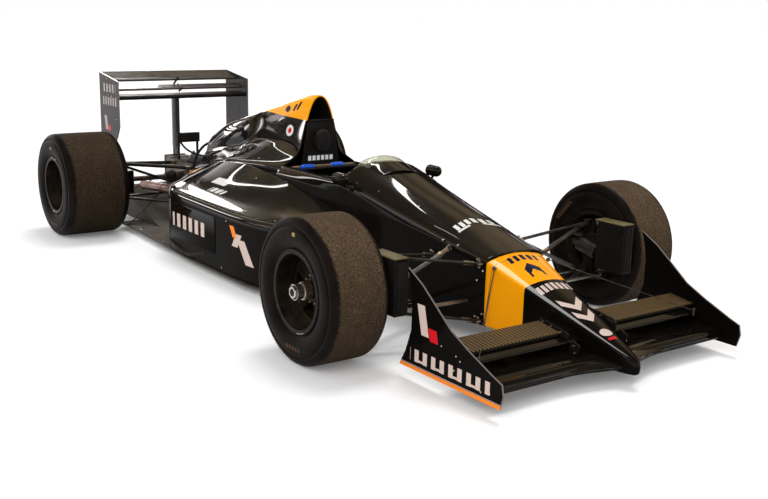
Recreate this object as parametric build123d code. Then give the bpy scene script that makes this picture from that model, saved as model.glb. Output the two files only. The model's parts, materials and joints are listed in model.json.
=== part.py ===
"""Open wheel racing car: a single-seat circuit car with a carbon tub, wide slick tyres,
wings at both ends and a mid-mounted engine.

Units are millimetres and degrees. +X is forward, +Y is the car's left and +Z is up.
Every station below is given from the front axle line, with z = 0 on the ground. On export all
pieces move along X so that the origin is on the ground at the middle of the overall length.
"""

import math
import os

from build123d import *

os.makedirs("parts", exist_ok=True)

# ---------------------------------------------------------------- driving dimensions
wheelbase = 2980.0
front_track = 1760.0
rear_track = 1670.0
nose_reach = 990.0  # nose tip ahead of the front axle
rear_wing_reach = 545.0  # rear wing trailing edge behind the rear axle
axle_to_origin = (wheelbase + rear_wing_reach - nose_reach) / 2

front_tyre_diameter = 635.0
front_tyre_width = 290.0
rear_tyre_diameter = 655.0
rear_tyre_width = 410.0
bead_radius = 167.0  # where tyre and rim meet
bead_clearance = 0.3
front_rim_width = 254.0
rear_rim_width = 350.0
flange_radius = 180.0
barrel_inner_radius = 151.0
tread_share = 0.76  # flat tread as a share of the section width
shoulder_drop = 24.0
bead_inset = 22.0  # tyre's bead inside its widest point

kingpin_y = 712.0
ball_joint_radius = 122.0  # height of each ball joint above or below the axle
steering_arm = 105.0
arm_top_z = 180.0  # upper face of the steering arm
rod_end_radius = 11.0
track_rod_z = arm_top_z + rod_end_radius + 0.3
running_gap = 0.05

front_wing_half_span = 700.0
front_plate_thickness = 8.0
rear_wing_half_span = 490.0
rear_plate_thickness = 8.0
rear_wing_height = 1006.0

floor_z = 30.0
floor_thickness = 10.0
floor_half_width = 645.0
shell = 9.0  # thickness of the body panels
tub_wall = 16.0

cockpit_front = -815.0
cockpit_rear = -1415.0
cockpit_half_width = 222.0
tub_front = 234.0
tub_rear = -1760.0
engine_rear = -2400.0

engine_half_width = 200.0
engine_top = 440.0
gearbox_half_width = 118.0
gearbox_top = 410.0
gearbox_rear = -3420.0

rack_x = 128.0
rack_radius = 12.0
column_radius = 12.0
column_tilt = 20.0
wheel_centre = (-905.0, 0.0, 560.0)
dash_front = -640.0
dash_thickness = 12.0

rear_axle = -wheelbase
front_axle_z = front_tyre_diameter / 2
rear_axle_z = rear_tyre_diameter / 2
piece_gap = 0.4  # between body pieces that meet face to face


# ---------------------------------------------------------------- small helpers
def keep(name, *solids):
    """Writes one node, moved so that the origin is at the middle of the overall length."""
    place = Location((axle_to_origin, 0, 0))
    found = [s.moved(place) for shape in solids for s in shape.solids()]
    export_step(found[0] if len(found) == 1 else Compound(children=found), f"parts/{name}.step")


def mirrored(shape):
    return mirror(shape, about=Plane.XZ)


def ring(x, half):
    """A closed face across the car at x, from its left half: (y, z) points from bottom to top."""
    right = [(-y, z) for y, z in reversed(half) if y > 0]
    left = [(y, z) for y, z in half]
    points = [(x, y, z) for y, z in left + right]
    return make_face(Polyline(*points, close=True))


def outline_face(points):
    return make_face(Polyline(*points, close=True))


def hull(sections):
    """A straight-ruled solid through faces."""
    return loft(sections, ruled=True)


def block(x0, x1, y0, y1, z0, z1):
    centre = ((x0 + x1) / 2, (y0 + y1) / 2, (z0 + z1) / 2)
    return Pos(*centre) * Box(abs(x1 - x0), abs(y1 - y0), abs(z1 - z0))


def rod(start, end, radius):
    axis = Vector(*end) - Vector(*start)
    plane = Plane(origin=start, z_dir=axis)
    return extrude(plane * Circle(radius), axis.length)


def ball_at(point, radius):
    """A ball with its poles across the car, clear of the rods that enter it."""
    return Pos(*point) * Rot(90, 0, 0) * Sphere(radius)


def blade(start, end, chord, thickness):
    """A flattened wishbone leg: an ellipse of that chord along X and thickness, swept straight."""
    axis = Vector(*end) - Vector(*start)
    plane = Plane(origin=start, x_dir=Vector(1, 0, 0).cross(axis).cross(axis), z_dir=axis)
    return extrude(plane * Ellipse(chord / 2, thickness / 2), axis.length)


def wing_section(x_lead, z_lead, x_trail, z_trail, thickness, y):
    """A closed aerofoil face in the plane y, with a round nose, cambered downwards."""
    chord = math.hypot(x_trail - x_lead, z_trail - z_lead)
    ux, uz = (x_trail - x_lead) / chord, (z_trail - z_lead) / chord
    nx, nz = uz, -ux  # up from the chord, because the chord runs backwards

    def at(along, up):
        return (x_lead + ux * along * chord + nx * up, y, z_lead + uz * along * chord + nz * up)

    tail = 2.0
    top = ThreePointArc(at(0.0, 0), at(0.04, thickness * 0.35), at(0.18, thickness * 0.42))
    upper = Line(at(0.18, thickness * 0.42), at(1.0, tail / 2))
    edge = Line(at(1.0, tail / 2), at(1.0, -tail / 2))
    lower = ThreePointArc(at(1.0, -tail / 2), at(0.5, -thickness * 0.6), at(0.08, -thickness * 0.45))
    nose = ThreePointArc(at(0.08, -thickness * 0.45), at(0.015, -thickness * 0.22), at(0.0, 0))
    return make_face([top, upper, edge, lower, nose])


def wing(x_lead, z_lead, x_trail, z_trail, thickness, y0, y1):
    face = wing_section(x_lead, z_lead, x_trail, z_trail, thickness, y0)
    return extrude(face, y1 - y0, dir=(0, 1, 0))


def revolve_y(points):
    """Turns a closed profile of (radius, y) points about the Y axis."""
    wire = Polyline(*[(r, y, 0) for r, y in points], close=True)
    return revolve(make_face(wire), Axis.Y, 360)


# ---------------------------------------------------------------- wheels
def tyre(diameter, width):
    """A slick: flat tread, round shoulders and bulged sidewalls, about its own centre."""
    radius, half = diameter / 2, width / 2
    tread = half * tread_share
    bulge_radius = (radius + bead_radius) / 2 + 20
    bead_half = half - bead_inset
    low = bead_radius + bead_clearance
    edges = [Line((radius, -tread, 0), (radius, tread, 0)), Line((low, -bead_half, 0), (low, bead_half, 0))]
    for s in (-1, 1):
        top = (radius, s * tread, 0)
        hip = (radius - shoulder_drop * 1.4, s * (half - 4), 0)
        bead = (flange_radius + 1.5, s * bead_half, 0)
        shoulder = (radius - shoulder_drop * 0.30, s * ((tread + half) / 2 + 8), 0)
        edges.append(ThreePointArc(top, shoulder, hip))
        edges.append(ThreePointArc(hip, (bulge_radius - 10, s * half, 0), bead))
        edges.append(Line(bead, (low, s * bead_half, 0)))
    face = make_face(edges)
    return revolve(face, Axis.Y, 360)


spoke_count = 5
hub_radius = 46.0
stub_radius = 26.0
disc_thickness = 24.0
disc_radius = 134.0
nut_radius = 30.0


def rim(rim_width, tyre_width, disc_y, face_y, nut_y):
    """Rim, spoked centre, hub, nut and brake disc, about its own centre with +Y outboard."""
    half = rim_width / 2
    flange_y = tyre_width / 2 - bead_inset + bead_clearance
    wall = 6.0
    profile = [
        (bead_radius, -half),
        (bead_radius, half),
        (bead_radius, flange_y),
        (flange_radius, flange_y),
        (flange_radius, flange_y + wall),
        (bead_radius - wall, flange_y + wall),
        (bead_radius - wall, face_y + 40),
        (barrel_inner_radius, face_y),
        (barrel_inner_radius, -half + 30),
        (bead_radius - wall, -half),
        (bead_radius - wall, -flange_y - wall),
        (flange_radius, -flange_y - wall),
        (flange_radius, -flange_y),
        (bead_radius, -flange_y),
    ]
    body = revolve_y(profile)
    centre = Pos(0, face_y, 0) * Rot(90, 0, 0) * Cylinder(barrel_inner_radius + 4, 14)
    window_in, window_out, window_half = 62.0, 136.0, 27.0
    for n in range(spoke_count):
        turn = Rot(0, 360 / spoke_count * (n + 0.5), 0)
        mouth = [
            (window_in, face_y - 20, -10),
            (window_out, face_y - 20, -window_half * 2),
            (window_out + 6, face_y - 20, 0),
            (window_out, face_y - 20, window_half * 2),
            (window_in, face_y - 20, 10),
        ]
        centre -= turn * extrude(outline_face(mouth), 40, dir=(0, 1, 0))
    hub_in = disc_y - disc_thickness / 2 - 8
    hub = Pos(0, (hub_in + face_y + 20) / 2, 0) * Rot(90, 0, 0) * Cylinder(
        hub_radius, face_y + 20 - hub_in
    )
    nut = Pos(0, (face_y + nut_y) / 2, 0) * Rot(90, 0, 0) * Cylinder(nut_radius, nut_y - face_y)
    disc = Pos(0, disc_y, 0) * Rot(90, 0, 0) * Cylinder(disc_radius, disc_thickness)
    return body + centre + hub + nut + disc


front_disc_y = -42.0
front_face_y = 30.0
front_nut_y = 138.0
rear_disc_y = -70.0
rear_face_y = 20.0
rear_nut_y = 110.0
stub_length = 120.0


def kingpin_to_wheel():
    """Start of the stub axle, from the wheel's middle."""
    return kingpin_y + 40 - front_track / 2


def front_wheel(side):
    wheel = rim(front_rim_width, front_tyre_width, front_disc_y, front_face_y, front_nut_y)
    bore = stub_radius + running_gap
    bore_start = front_disc_y - disc_thickness / 2 - 20
    bore_end = kingpin_to_wheel() + stub_length + running_gap
    wheel -= Pos(0, (bore_start + bore_end) / 2, 0) * Rot(90, 0, 0) * Cylinder(
        bore, bore_end - bore_start
    )
    place = Pos(0, side * front_track / 2, front_axle_z)
    turned = wheel if side > 0 else mirrored(wheel)
    return place * turned


def rear_wheel(side):
    wheel = rim(rear_rim_width, rear_tyre_width, rear_disc_y, rear_face_y, rear_nut_y)
    place = Pos(rear_axle, side * rear_track / 2, rear_axle_z)
    turned = wheel if side > 0 else mirrored(wheel)
    return place * turned


# ---------------------------------------------------------------- front knuckles
duct_x = (125.0, 300.0)
duct_y = (648.0, 716.0)
duct_z = (238.0, 480.0)


def knuckle(side):
    """Upright with ball-joint ears, stub axle, steering arm, caliper and brake duct."""
    high = front_axle_z + ball_joint_radius
    low = front_axle_z - ball_joint_radius
    body = block(-34, 34, kingpin_y + 18, kingpin_y + 42, low - 6, high + 6)
    ear, eye, ear_radius = 8.0, 14.0, 17.0
    for z in (high, low):
        for s in (-1, 1):
            z_ear = z + s * (eye / 2 + 0.3 + ear / 2)
            body += Pos(0, kingpin_y, z_ear) * Cylinder(ear_radius, ear)
            body += block(-15, 15, kingpin_y, kingpin_y + 30, z_ear - ear / 2, z_ear + ear / 2)
        body += Pos(0, kingpin_y, z) * Cylinder(6, eye + 2 * ear)
    stub_start = kingpin_y + 40
    body += Pos(0, stub_start + stub_length / 2, front_axle_z) * Rot(90, 0, 0) * Cylinder(
        stub_radius, stub_length
    )
    # The steering arm reaches forward under the track rod's end.
    arm_low = arm_top_z - 14
    body += block(-20, 34, kingpin_y - 15, kingpin_y + 36, arm_low, arm_top_z)
    body += block(-20, 34, kingpin_y + 18, kingpin_y + 36, arm_low, low)
    body += block(20, steering_arm, kingpin_y - 15, kingpin_y + 15, arm_low, arm_top_z)
    body += Pos(steering_arm, kingpin_y, arm_top_z - 7) * Cylinder(15, 14)
    # The caliper straddles the disc behind the axle.
    disc_y = front_track / 2 + front_disc_y
    pad_gap = disc_thickness / 2 + 5
    for y0, y1 in (
        (disc_y - pad_gap - 22, disc_y - pad_gap),
        (disc_y + pad_gap, disc_y + pad_gap + 20),
    ):
        body += block(-140, -60, y0, y1, front_axle_z - 45, front_axle_z + 45)
    body += block(
        -146, -139.5, disc_y - pad_gap - 22, disc_y + pad_gap + 20, front_axle_z - 32, front_axle_z + 32
    )
    body += block(-80, -56, kingpin_y + 22, disc_y - pad_gap, front_axle_z - 30, front_axle_z + 30)
    body += block(-80, -20, kingpin_y + 18, kingpin_y + 42, front_axle_z - 30, front_axle_z + 30)
    # The brake duct is a forward-facing scoop with a neck to the upright.
    duct = block(*duct_x, *duct_y, *duct_z)
    duct -= block(duct_x[0] + 20, duct_x[1] + 5, duct_y[0] + 6, duct_y[1] - 6, duct_z[0] + 6, duct_z[1] - 6)
    body += duct
    body += block(20, duct_x[0] + 4, duct_y[1] - 24, duct_y[1], 268, 392)
    body += block(20, 34, duct_y[1] - 24, kingpin_y + 30, 268, 392)
    return body if side > 0 else mirrored(body)


# ---------------------------------------------------------------- suspension arms
def arm_eye(point, height=14.0, radius=15.0, bore=6.0 + running_gap):
    return Pos(*point) * (Cylinder(radius, height) - Cylinder(bore, height + 2))


# Inner pickups of the front arms on the tub: x, y and z of each ball, on the left.
pickup_radius = 13.0
upper_pickups = [(212, 188, 381), (-86, 214, 366)]
lower_pickups = [(212, 182, 118), (-190, 225, 118)]
push_rod_pickup = (18, 204, 414)


def front_suspension(side):
    """Upper and lower wishbones with the push rod, on the left."""
    high = (0, kingpin_y, front_axle_z + ball_joint_radius)
    low = (0, kingpin_y, front_axle_z - ball_joint_radius)
    pieces = []
    for ball, inner in ((high, upper_pickups), (low, lower_pickups)):
        arm = arm_eye(ball)
        start = (0, ball[1] - 13, ball[2])
        for point in inner:
            arm += blade(start, point, 30, 13) + ball_at(point, pickup_radius)
        arm -= Pos(*ball) * Cylinder(6.0 + running_gap, 30)
        pieces.append(arm)
    foot = (-12, kingpin_y - 62, low[2] + 12)
    push = rod(foot, push_rod_pickup, 9.5) + ball_at(foot, 14)
    pieces[1] += push + ball_at(push_rod_pickup, pickup_radius)
    shape = Compound(children=[s for p in pieces for s in p.solids()])
    return shape if side > 0 else mirrored(shape)


def pickup_brackets():
    """Brackets on the tub's sides that carry the inner balls of the front arms."""
    face_gap = 0.3
    found = []
    for x, y, z in upper_pickups + lower_pickups + [push_rod_pickup]:
        for s in (-1, 1):
            near, far = s * (y - 30), s * (y - pickup_radius - face_gap)
            found.append(block(x - 13, x + 13, near, far, z - 12, z + 7))
    return found


rear_upright_y = 628.0


def rear_suspension(side):
    """Upper and lower wishbones with the pull rod, on the left."""
    ball_y = rear_upright_y - 18.3
    upper = (rear_axle, ball_y, rear_axle_z + 112)
    lower = (rear_axle, ball_y, rear_axle_z - 112)
    inner_y = gearbox_half_width - 4
    arm = rod(upper, (rear_axle + 145, inner_y, 396), 12) + rod(upper, (rear_axle - 150, inner_y, 396), 12)
    arm += ball_at(upper, 18)
    base = blade(lower, (rear_axle + 280, inner_y, 168), 34, 16)
    base += blade(lower, (rear_axle - 160, inner_y, 190), 34, 16)
    base += ball_at(lower, 18)
    pull = rod((rear_axle + 36, ball_y - 44, rear_axle_z + 96), (rear_axle + 44, inner_y, 250), 9)
    box = gearbox_hull(0.3)
    pieces = [arm + pull - box, base - box]
    shape = Compound(children=[s for p in pieces for s in p.solids()])
    return shape if side > 0 else mirrored(shape)


journal_radius = 42.0  # half shaft's outer journal, running in the rear upright


def rear_upright(side):
    """Upright with its bearing housing, caliper and cooling scoop, on the left."""
    y0 = rear_upright_y
    body = block(rear_axle - 40, rear_axle + 40, y0, y0 + 30, rear_axle_z - 130, rear_axle_z + 130)
    body += Pos(rear_axle, y0 + 30, rear_axle_z) * Rot(90, 0, 0) * Cylinder(64, 60)
    disc_y = rear_track / 2 + rear_disc_y
    gap = disc_thickness / 2 + 5
    for a, b in ((disc_y - gap - 22, disc_y - gap), (disc_y + gap, disc_y + gap + 20)):
        body += block(rear_axle + 62, rear_axle + 140, a, b, rear_axle_z - 45, rear_axle_z + 45)
    body += block(
        rear_axle + 139.5, rear_axle + 146, disc_y - gap - 22, disc_y + gap + 20,
        rear_axle_z - 32, rear_axle_z + 32,
    )
    body += block(rear_axle + 58, rear_axle + 80, y0 + 4, disc_y - gap, rear_axle_z - 30, rear_axle_z + 30)
    body += block(rear_axle + 30, rear_axle + 80, y0, y0 + 30, rear_axle_z - 30, rear_axle_z + 30)
    scoop = block(rear_axle + 60, rear_axle + 200, y0 - 62, y0 - 6, rear_axle_z - 60, rear_axle_z + 90)
    scoop -= block(rear_axle + 70, rear_axle + 220, y0 - 57, y0 - 11, rear_axle_z - 55, rear_axle_z + 85)
    body += scoop
    body += block(rear_axle + 52, rear_axle + 66, y0 - 40, y0 + 10, rear_axle_z - 50, rear_axle_z + 60)
    body += block(rear_axle + 36, rear_axle + 66, y0, y0 + 12, rear_axle_z - 50, rear_axle_z + 60)
    bore = journal_radius + running_gap
    body -= Pos(rear_axle, y0 + 30, rear_axle_z) * Rot(90, 0, 0) * Cylinder(bore, 80)
    return body if side > 0 else mirrored(body)


def driveshaft(side):
    """Half shaft with a joint housing at each end, on the wheel's own axis."""
    y_in = gearbox_half_width + 22
    y_out = rear_track / 2 + rear_disc_y - disc_thickness / 2 - 8
    length = y_out - y_in
    middle = (y_in + y_out) / 2
    body = Pos(0, middle, 0) * Rot(90, 0, 0) * Cylinder(17, length)
    body += Pos(0, y_in + 30, 0) * Rot(90, 0, 0) * Cylinder(46, 60)
    body += Pos(0, rear_upright_y + 32, 0) * Rot(90, 0, 0) * Cylinder(journal_radius, 84)
    body = Pos(rear_axle, 0, rear_axle_z) * body
    return body if side > 0 else mirrored(body)


# ---------------------------------------------------------------- tub and cowl
# Columns: station x, half width at the floor, floor z, half width at the crease, crease z,
# half width and z of the upper side, of the hump's edge and beside the crown, crown z.
tub_table = [
    (tub_front, 160, 84, 167, 390, 150, 404, 118, 410, 80, 413, 416),
    (-108, 190, 58, 200, 450, 184, 482, 145, 498, 100, 508, 516),
    (-451, 222, 34, 230, 491, 222, 540, 176, 574, 120, 592, 604),
    (-815, 250, 32, 256, 540, 262, 597, 220, 654, 140, 684, 703),
    (-835, 250, 32, 257, 541, 258, 590, 250, 596, 240, 598, 600),
    (-1177, 262, 32, 270, 557, 252, 592, 244, 598, 236, 600, 602),
    (-1415, 262, 32, 276, 562, 252, 592, 244, 598, 236, 600, 602),
    (-1760, 262, 32, 276, 566, 252, 592, 244, 598, 236, 600, 602),
]


def tub_half(row, inset=0.0):
    x, low_w, low_z, crease_w, crease_z = row[:5]
    chamfer = 36.0
    return [
        (0, low_z + inset),
        (low_w - chamfer - inset * 0.4, low_z + inset),
        (low_w - inset, low_z + chamfer + inset * 0.4),
        (crease_w - inset, crease_z),
        (0, crease_z),
    ]


def cowl_half(row, inset=0.0):
    crease_w, crease_z, side_w, side_z, hump_w, hump_z, top_w, top_z, crown_z = row[3:]
    return [
        (0, crease_z),
        (crease_w - inset, crease_z),
        (side_w - inset, side_z - inset * 0.4),
        (hump_w - inset * 0.7, hump_z - inset * 0.8),
        (top_w - inset * 0.3, top_z - inset),
        (0, crown_z - inset),
    ]


def open_top(row, inset):
    """The upper points of the tub's room, 1 mm past its upper edge so that it is cut open."""
    crease_w, crease_z = row[3:5]
    return [(crease_w - inset, crease_z + 1), (0, crease_z + 1)]


def column_plane():
    axis = Vector(math.cos(math.radians(column_tilt)), 0, -math.sin(math.radians(column_tilt)))
    return Plane(origin=wheel_centre, x_dir=(0, 1, 0), z_dir=axis)


def tub():
    outer = hull([ring(row[0], tub_half(row)) for row in tub_table])
    first, last = tub_table[0], tub_table[-1]
    inner_rows = [(first[0] - 22, *first[1:])] + tub_table[1:-1] + [(last[0] + 22, *last[1:])]
    room = hull([ring(row[0], tub_half(row, tub_wall)[:-2] + open_top(row, tub_wall)) for row in inner_rows])
    body = outer - room
    for bracket in pickup_brackets():
        body += bracket
    # The rack runs in a block on the floor.
    body += block(rack_x - 25, rack_x + 25, -60, 60, 76, track_rod_z + 24)
    body -= Pos(rack_x, 0, track_rod_z) * Rot(90, 0, 0) * Cylinder(rack_radius + running_gap, 140)
    # The dash bulkhead carries the steering column.
    body += block(dash_front - dash_thickness, dash_front, -230, 230, 400, 505)
    body -= extrude(column_plane() * Circle(column_radius + running_gap), 420)
    # The track rods pass through the sides.
    for s in (-1, 1):
        body -= Pos(rack_x, s * 160, track_rod_z) * Rot(90, 0, 0) * Cylinder(18, 80)
    return body


def tub_hulls(grow):
    """The tub and the cowl as closed solids, grown sideways and upwards."""
    low = hull([ring(row[0], tub_half(row, -grow)) for row in tub_table])
    high = hull([ring(row[0], cowl_half(row, -grow)) for row in tub_table if row[0] >= cockpit_rear])
    return low, high


def clear_of_tub(piece):
    """Cuts a left-hand piece back to the tub's outer skin, and keeps what is outside."""
    low, high = tub_hulls(0.3)
    rest = ((piece - low) - high).solids()
    return rest.sort_by(SortBy.VOLUME)[-1]


def capped(rows, past=5.0):
    """Rows of a table with the first and last station pushed past the ends."""
    last = len(rows) - 1
    return [(row[0] + (past if n == 0 else -past if n == last else 0), row) for n, row in enumerate(rows)]


def along(table, x, column):
    """A column of a table, interpolated at the station x."""
    rows = sorted(table, key=lambda row: -row[0])
    for front, back in zip(rows, rows[1:]):
        if back[0] <= x <= front[0]:
            share = (front[0] - x) / (front[0] - back[0])
            return front[column] + share * (back[column] - front[column])
    return rows[-1][column]


def cowl():
    rows = [row for row in tub_table if row[0] >= cockpit_rear]
    outer = hull([ring(row[0], cowl_half(row)) for row in rows])
    rooms = []
    for x, row in capped(rows):
        foot = [(0, row[4] - 1), (row[3] - shell, row[4] - 1)]
        rooms.append(ring(x, foot + cowl_half(row, shell)[1:]))
    inner = hull(rooms)
    body = outer - inner
    body -= block(cockpit_front, cockpit_rear - 5, -cockpit_half_width, cockpit_half_width, 300, 900)
    return Pos(0, 0, piece_gap) * body


# ---------------------------------------------------------------- nose
# Columns: station x, half width, underside z, shoulder z, crown z.
nose_table = [
    (tub_front, 167, 84, 390, 416),
    (441, 124, 66, 314, 335),
    (700, 82, 56, 221, 236),
    (900, 46, 54, 147, 157),
    (nose_reach, 20, 60, 111, 117),
]


def nose():
    chamfer = 0.32
    sections = []
    for x, half, low, shoulder, crown in nose_table:
        gap = piece_gap if x == tub_front else 0.0
        sections.append(
            ring(
                x + gap,
                [
                    (0, low),
                    (half * 0.86, low),
                    (half, low + (shoulder - low) * 0.12),
                    (half, shoulder - half * chamfer * 0.4),
                    (half * 0.84, shoulder + (crown - shoulder) * 0.45),
                    (0, crown),
                ],
            )
        )
    return hull(sections)


# ---------------------------------------------------------------- front wing
main_lead = (872.0, 78.0)
main_trail = (620.0, 132.0)
second_lead = (742.0, 152.0)
second_trail = (690.0, 172.0)
flap_lead = (700.0, 178.0)
flap_trail = (566.0, 204.0)
# Edge of each front end plate: (x, z) from the front foot, up the curved brow, and round.
front_plate_edge = [
    (944, 48), (960, 104), (950, 146), (895, 166), (758, 222), (652, 272), (556, 345),
    (466, 412), (371, 464), (392, 400), (404, 336), (402, 210), (366, 115), (327, 48),
]


plate_gap = 0.3  # between a wing element and its end plate


def front_main():
    """The main plane and the narrow element above its trailing half, both across the nose."""
    inner = front_wing_half_span - front_plate_thickness / 2 - plate_gap
    body = wing(*main_lead, *main_trail, 46, -inner, inner)
    rise = wing(*second_lead, *second_trail, 16, -inner, inner)
    nose_room = hull(
        [
            ring(x, [(0, -20), (half + 0.5, -20), (half + 0.5, crown + 30), (0, crown + 30)])
            for x, half, low, shoulder, crown in nose_table
        ]
    )
    lower = body - (nose_room & block(1100, 500, -300, 300, 56, 500))
    return lower, rise - nose_room


flap_root = 150.0  # inner end of each flap from the centre plane


def front_flaps():
    tip = front_wing_half_span - front_plate_thickness / 2 - plate_gap
    return [wing(*flap_lead, *flap_trail, 15, s * flap_root, s * tip) for s in (-1, 1)]


def front_plate(side):
    points = [(x, 0, z) for x, z in front_plate_edge]
    plate = extrude(outline_face(points), front_plate_thickness / 2, dir=(0, 1, 0), both=True)
    return Pos(0, side * front_wing_half_span, 0) * plate


# ---------------------------------------------------------------- side pods
# Columns: station x, root z against the tub, two points across the deck, outer half width,
# outer edge z.
pod_table = [
    (-815, 448, 400, 424, 500, 414, 572, 398),
    (-920, 472, 400, 436, 520, 418, 610, 398),
    (-1177, 516, 400, 460, 520, 420, 640, 394),
    (-1415, 552, 400, 480, 520, 420, 640, 395),
    (-1760, 580, 400, 496, 510, 420, 640, 402),
    (-2055, 556, 400, 484, 510, 426, 640, 408),
    (-2190, 528, 392, 472, 490, 430, 596, 414),
    (-2326, 500, 350, 462, 425, 432, 500, 408),
    (-2613, 430, 242, 420, 280, 402, 322, 372),
    (-2640, 424, 234, 415, 270, 398, 306, 368),
]


# Half width of the cover's side along its length.
sill_table = [
    (-1418, 250), (-1500, 262), (-1760, 284), (-2055, 286), (-2190, 276),
    (-2326, 262), (-2613, 205), (-2640, 200),
]


def pod_root(x):
    """Half width of the tub or engine cover that the pod stands against."""
    if x > tub_rear:
        return along(tub_table, x, 3) + 0.5
    return along(sill_table, x, 1) + 0.5


def pod_face(x, row, inset):
    root_w = pod_root(row[0])
    root_z, a_w, a_z, b_w, b_z, out_w, out_z = row[1:]
    base = floor_z + floor_thickness + piece_gap
    edge = 26.0
    low, root = (base, root_w) if inset == 0 else (base - 1, root_w - 1)
    return outline_face(
        [
            (x, root, low),
            (x, root, root_z - inset),
            (x, a_w, a_z - inset),
            (x, b_w, b_z - inset),
            (x, out_w - edge, out_z + 6 - inset),
            (x, out_w - inset, out_z - edge),
            (x, out_w - inset, low),
        ]
    )


def side_pod(side):
    outer = hull([pod_face(row[0], row, 0) for row in pod_table])
    inner = hull([pod_face(x, row, shell) for x, row in capped(pod_table)])
    body = outer - inner
    return body if side > 0 else mirrored(body)


radiator_front = -1030.0


def radiator(side):
    """A tall core set across the pod."""
    core = block(radiator_front, radiator_front - 55, 290, 592, floor_z + floor_thickness + 0.3, 376)
    return core if side > 0 else mirrored(core)


# ---------------------------------------------------------------- engine cover
# Columns: station x, lower edge z, shoulder z, then half width and z of the deck, the root, the
# ledge, the waist, the flank and the brow, and last the crown z.
cover_table = [
    (-1418, 568, 594, 200, 628, 150, 660, 128, 700, 112, 770, 90, 850, 55, 965, 1003),
    (-1500, 568, 594, 205, 630, 150, 665, 118, 705, 98, 770, 80, 850, 50, 962, 1000),
    (-1650, 568, 590, 215, 628, 150, 672, 108, 708, 86, 765, 70, 840, 44, 930, 966),
    (-1760, 568, 586, 218, 624, 148, 670, 106, 704, 81, 757, 65, 820, 40, 896, 936),
    (-1850, 545, 580, 220, 620, 146, 668, 104, 700, 76, 750, 60, 800, 36, 868, 908),
    (-2000, 515, 570, 215, 607, 135, 650, 100, 688, 72, 735, 56, 775, 34, 835, 868),
    (-2055, 504, 561, 212, 597, 132, 640, 112, 690, 100, 735, 86, 775, 48, 832, 856),
    (-2120, 492, 547, 208, 585, 128, 620, 122, 680, 114, 730, 94, 785, 54, 822, 838),
    (-2326, 452, 506, 200, 548, 128, 590, 122, 640, 112, 690, 90, 735, 52, 768, 782),
    (-2500, 410, 462, 180, 505, 122, 560, 114, 610, 100, 652, 78, 690, 44, 718, 728),
    (-2613, 385, 436, 165, 480, 116, 535, 104, 580, 90, 612, 68, 640, 38, 662, 690),
    (-2640, 382, 430, 162, 474, 114, 529, 102, 573, 88, 605, 66, 632, 36, 654, 682),
]
# How far the inner face steps in and down at each of those points, as shares of the wall.
cover_steps = [(1.0, 1.0), (0.6, 1.0), (0.7, 0.9), (1.0, 0.5), (1.0, 0.4), (1.0, 0.4), (0.9, 0.6)]


def cover_half(row, inset=0.0):
    low, shoulder_z, *pairs = row[1:-1]
    sill = along(sill_table, row[0], 1)
    base = low if inset == 0 else low - 1
    points = [(sill, shoulder_z)] + list(zip(pairs[::2], pairs[1::2]))
    upper = [(y - inset * a, z - inset * b) for (y, z), (a, b) in zip(points, cover_steps)]
    return [(0, base), (sill - inset, base)] + upper + [(0, row[-1] - inset)]


def cover_outline(x, row, inset):
    return ring(x, cover_half(row, inset))


def engine_cover():
    outer = hull([cover_outline(row[0], row, 0) for row in cover_table])
    inner = hull([cover_outline(x, row, shell) for x, row in capped(cover_table)])
    return outer - inner


def headrest():
    """Upright panel behind the driver with a padded rest on its front."""
    back = cover_table[0][0] + piece_gap
    thick = 14.0
    low_w, low_z, high_w, high_z = 128, 570, 84, 846
    face = [(back, y, z) for y, z in ((-low_w, low_z), (low_w, low_z), (high_w, high_z), (-high_w, high_z))]
    panel = extrude(outline_face(face), thick, dir=(1, 0, 0))
    pad_plane = Plane(origin=(back + thick, 0, 738), z_dir=(1, 0, 0))
    return panel + extrude(pad_plane * RectangleRounded(84, 116, 38), 26)


def seat():
    """A bucket: base, back and bolsters as one moulded shell."""
    base = tub_table[-1][2] + tub_wall + 0.3
    side = [
        (-930, base + 74), (-1180, base + 34), (-1320, base + 70), (-1392, 540), (-1402, 540),
        (-1340, base), (-1180, base), (-925, base),
    ]
    half = 186
    pan = extrude(outline_face([(x, 0, z) for x, z in side]), half, dir=(0, 1, 0), both=True)
    cheek = [
        (-960, base), (-1340, base), (-1398, 470), (-1330, 470), (-1240, base + 210), (-960, base + 140),
    ]
    for s in (-1, 1):
        pan += extrude(outline_face([(x, s * half, z) for x, z in cheek]), 14, dir=(0, s, 0))
    return pan


def windscreen():
    """A low curved screen standing on the cowl's rear edge."""
    outer = [
        ring(-640, [(0, 640), (118, 640), (112, 650), (60, 664), (0, 668)]),
        ring(-815, [(0, 668), (150, 668), (142, 692), (84, 718), (0, 728)]),
    ]
    inner = [
        ring(-636, [(0, 630), (114, 630), (108, 646), (58, 660), (0, 664)]),
        ring(-818, [(0, 655), (146, 655), (138, 688), (82, 714), (0, 724)]),
    ]
    body = hull(outer) - hull(inner)
    ahead = [row for row in tub_table if row[0] >= cockpit_front]
    keep_out = hull([ring(row[0], [(0, 200), (row[3] + 20, 200)] + cowl_half(row)[1:]) for row in ahead])
    return body - Pos(0, 0, 0.8) * keep_out


def mirrors():
    pair = []
    for s in (-1, 1):
        shell_body = Pos(-752, s * 300, 632) * Rot(0, 90, 0) * Cylinder(30, 56)
        shell_body += ball_at((-724, s * 300, 632), 30)
        stem = rod((-745, s * 300, 610), (-712, s * 250, 584), 7)
        piece = shell_body + stem
        pair.append(clear_of_tub(piece))
    return pair


# ---------------------------------------------------------------- floor and rear
diffuser_start = -2680.0
diffuser_end = -3400.0
diffuser_half_width = 430.0
diffuser_rise = 178.0


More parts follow.
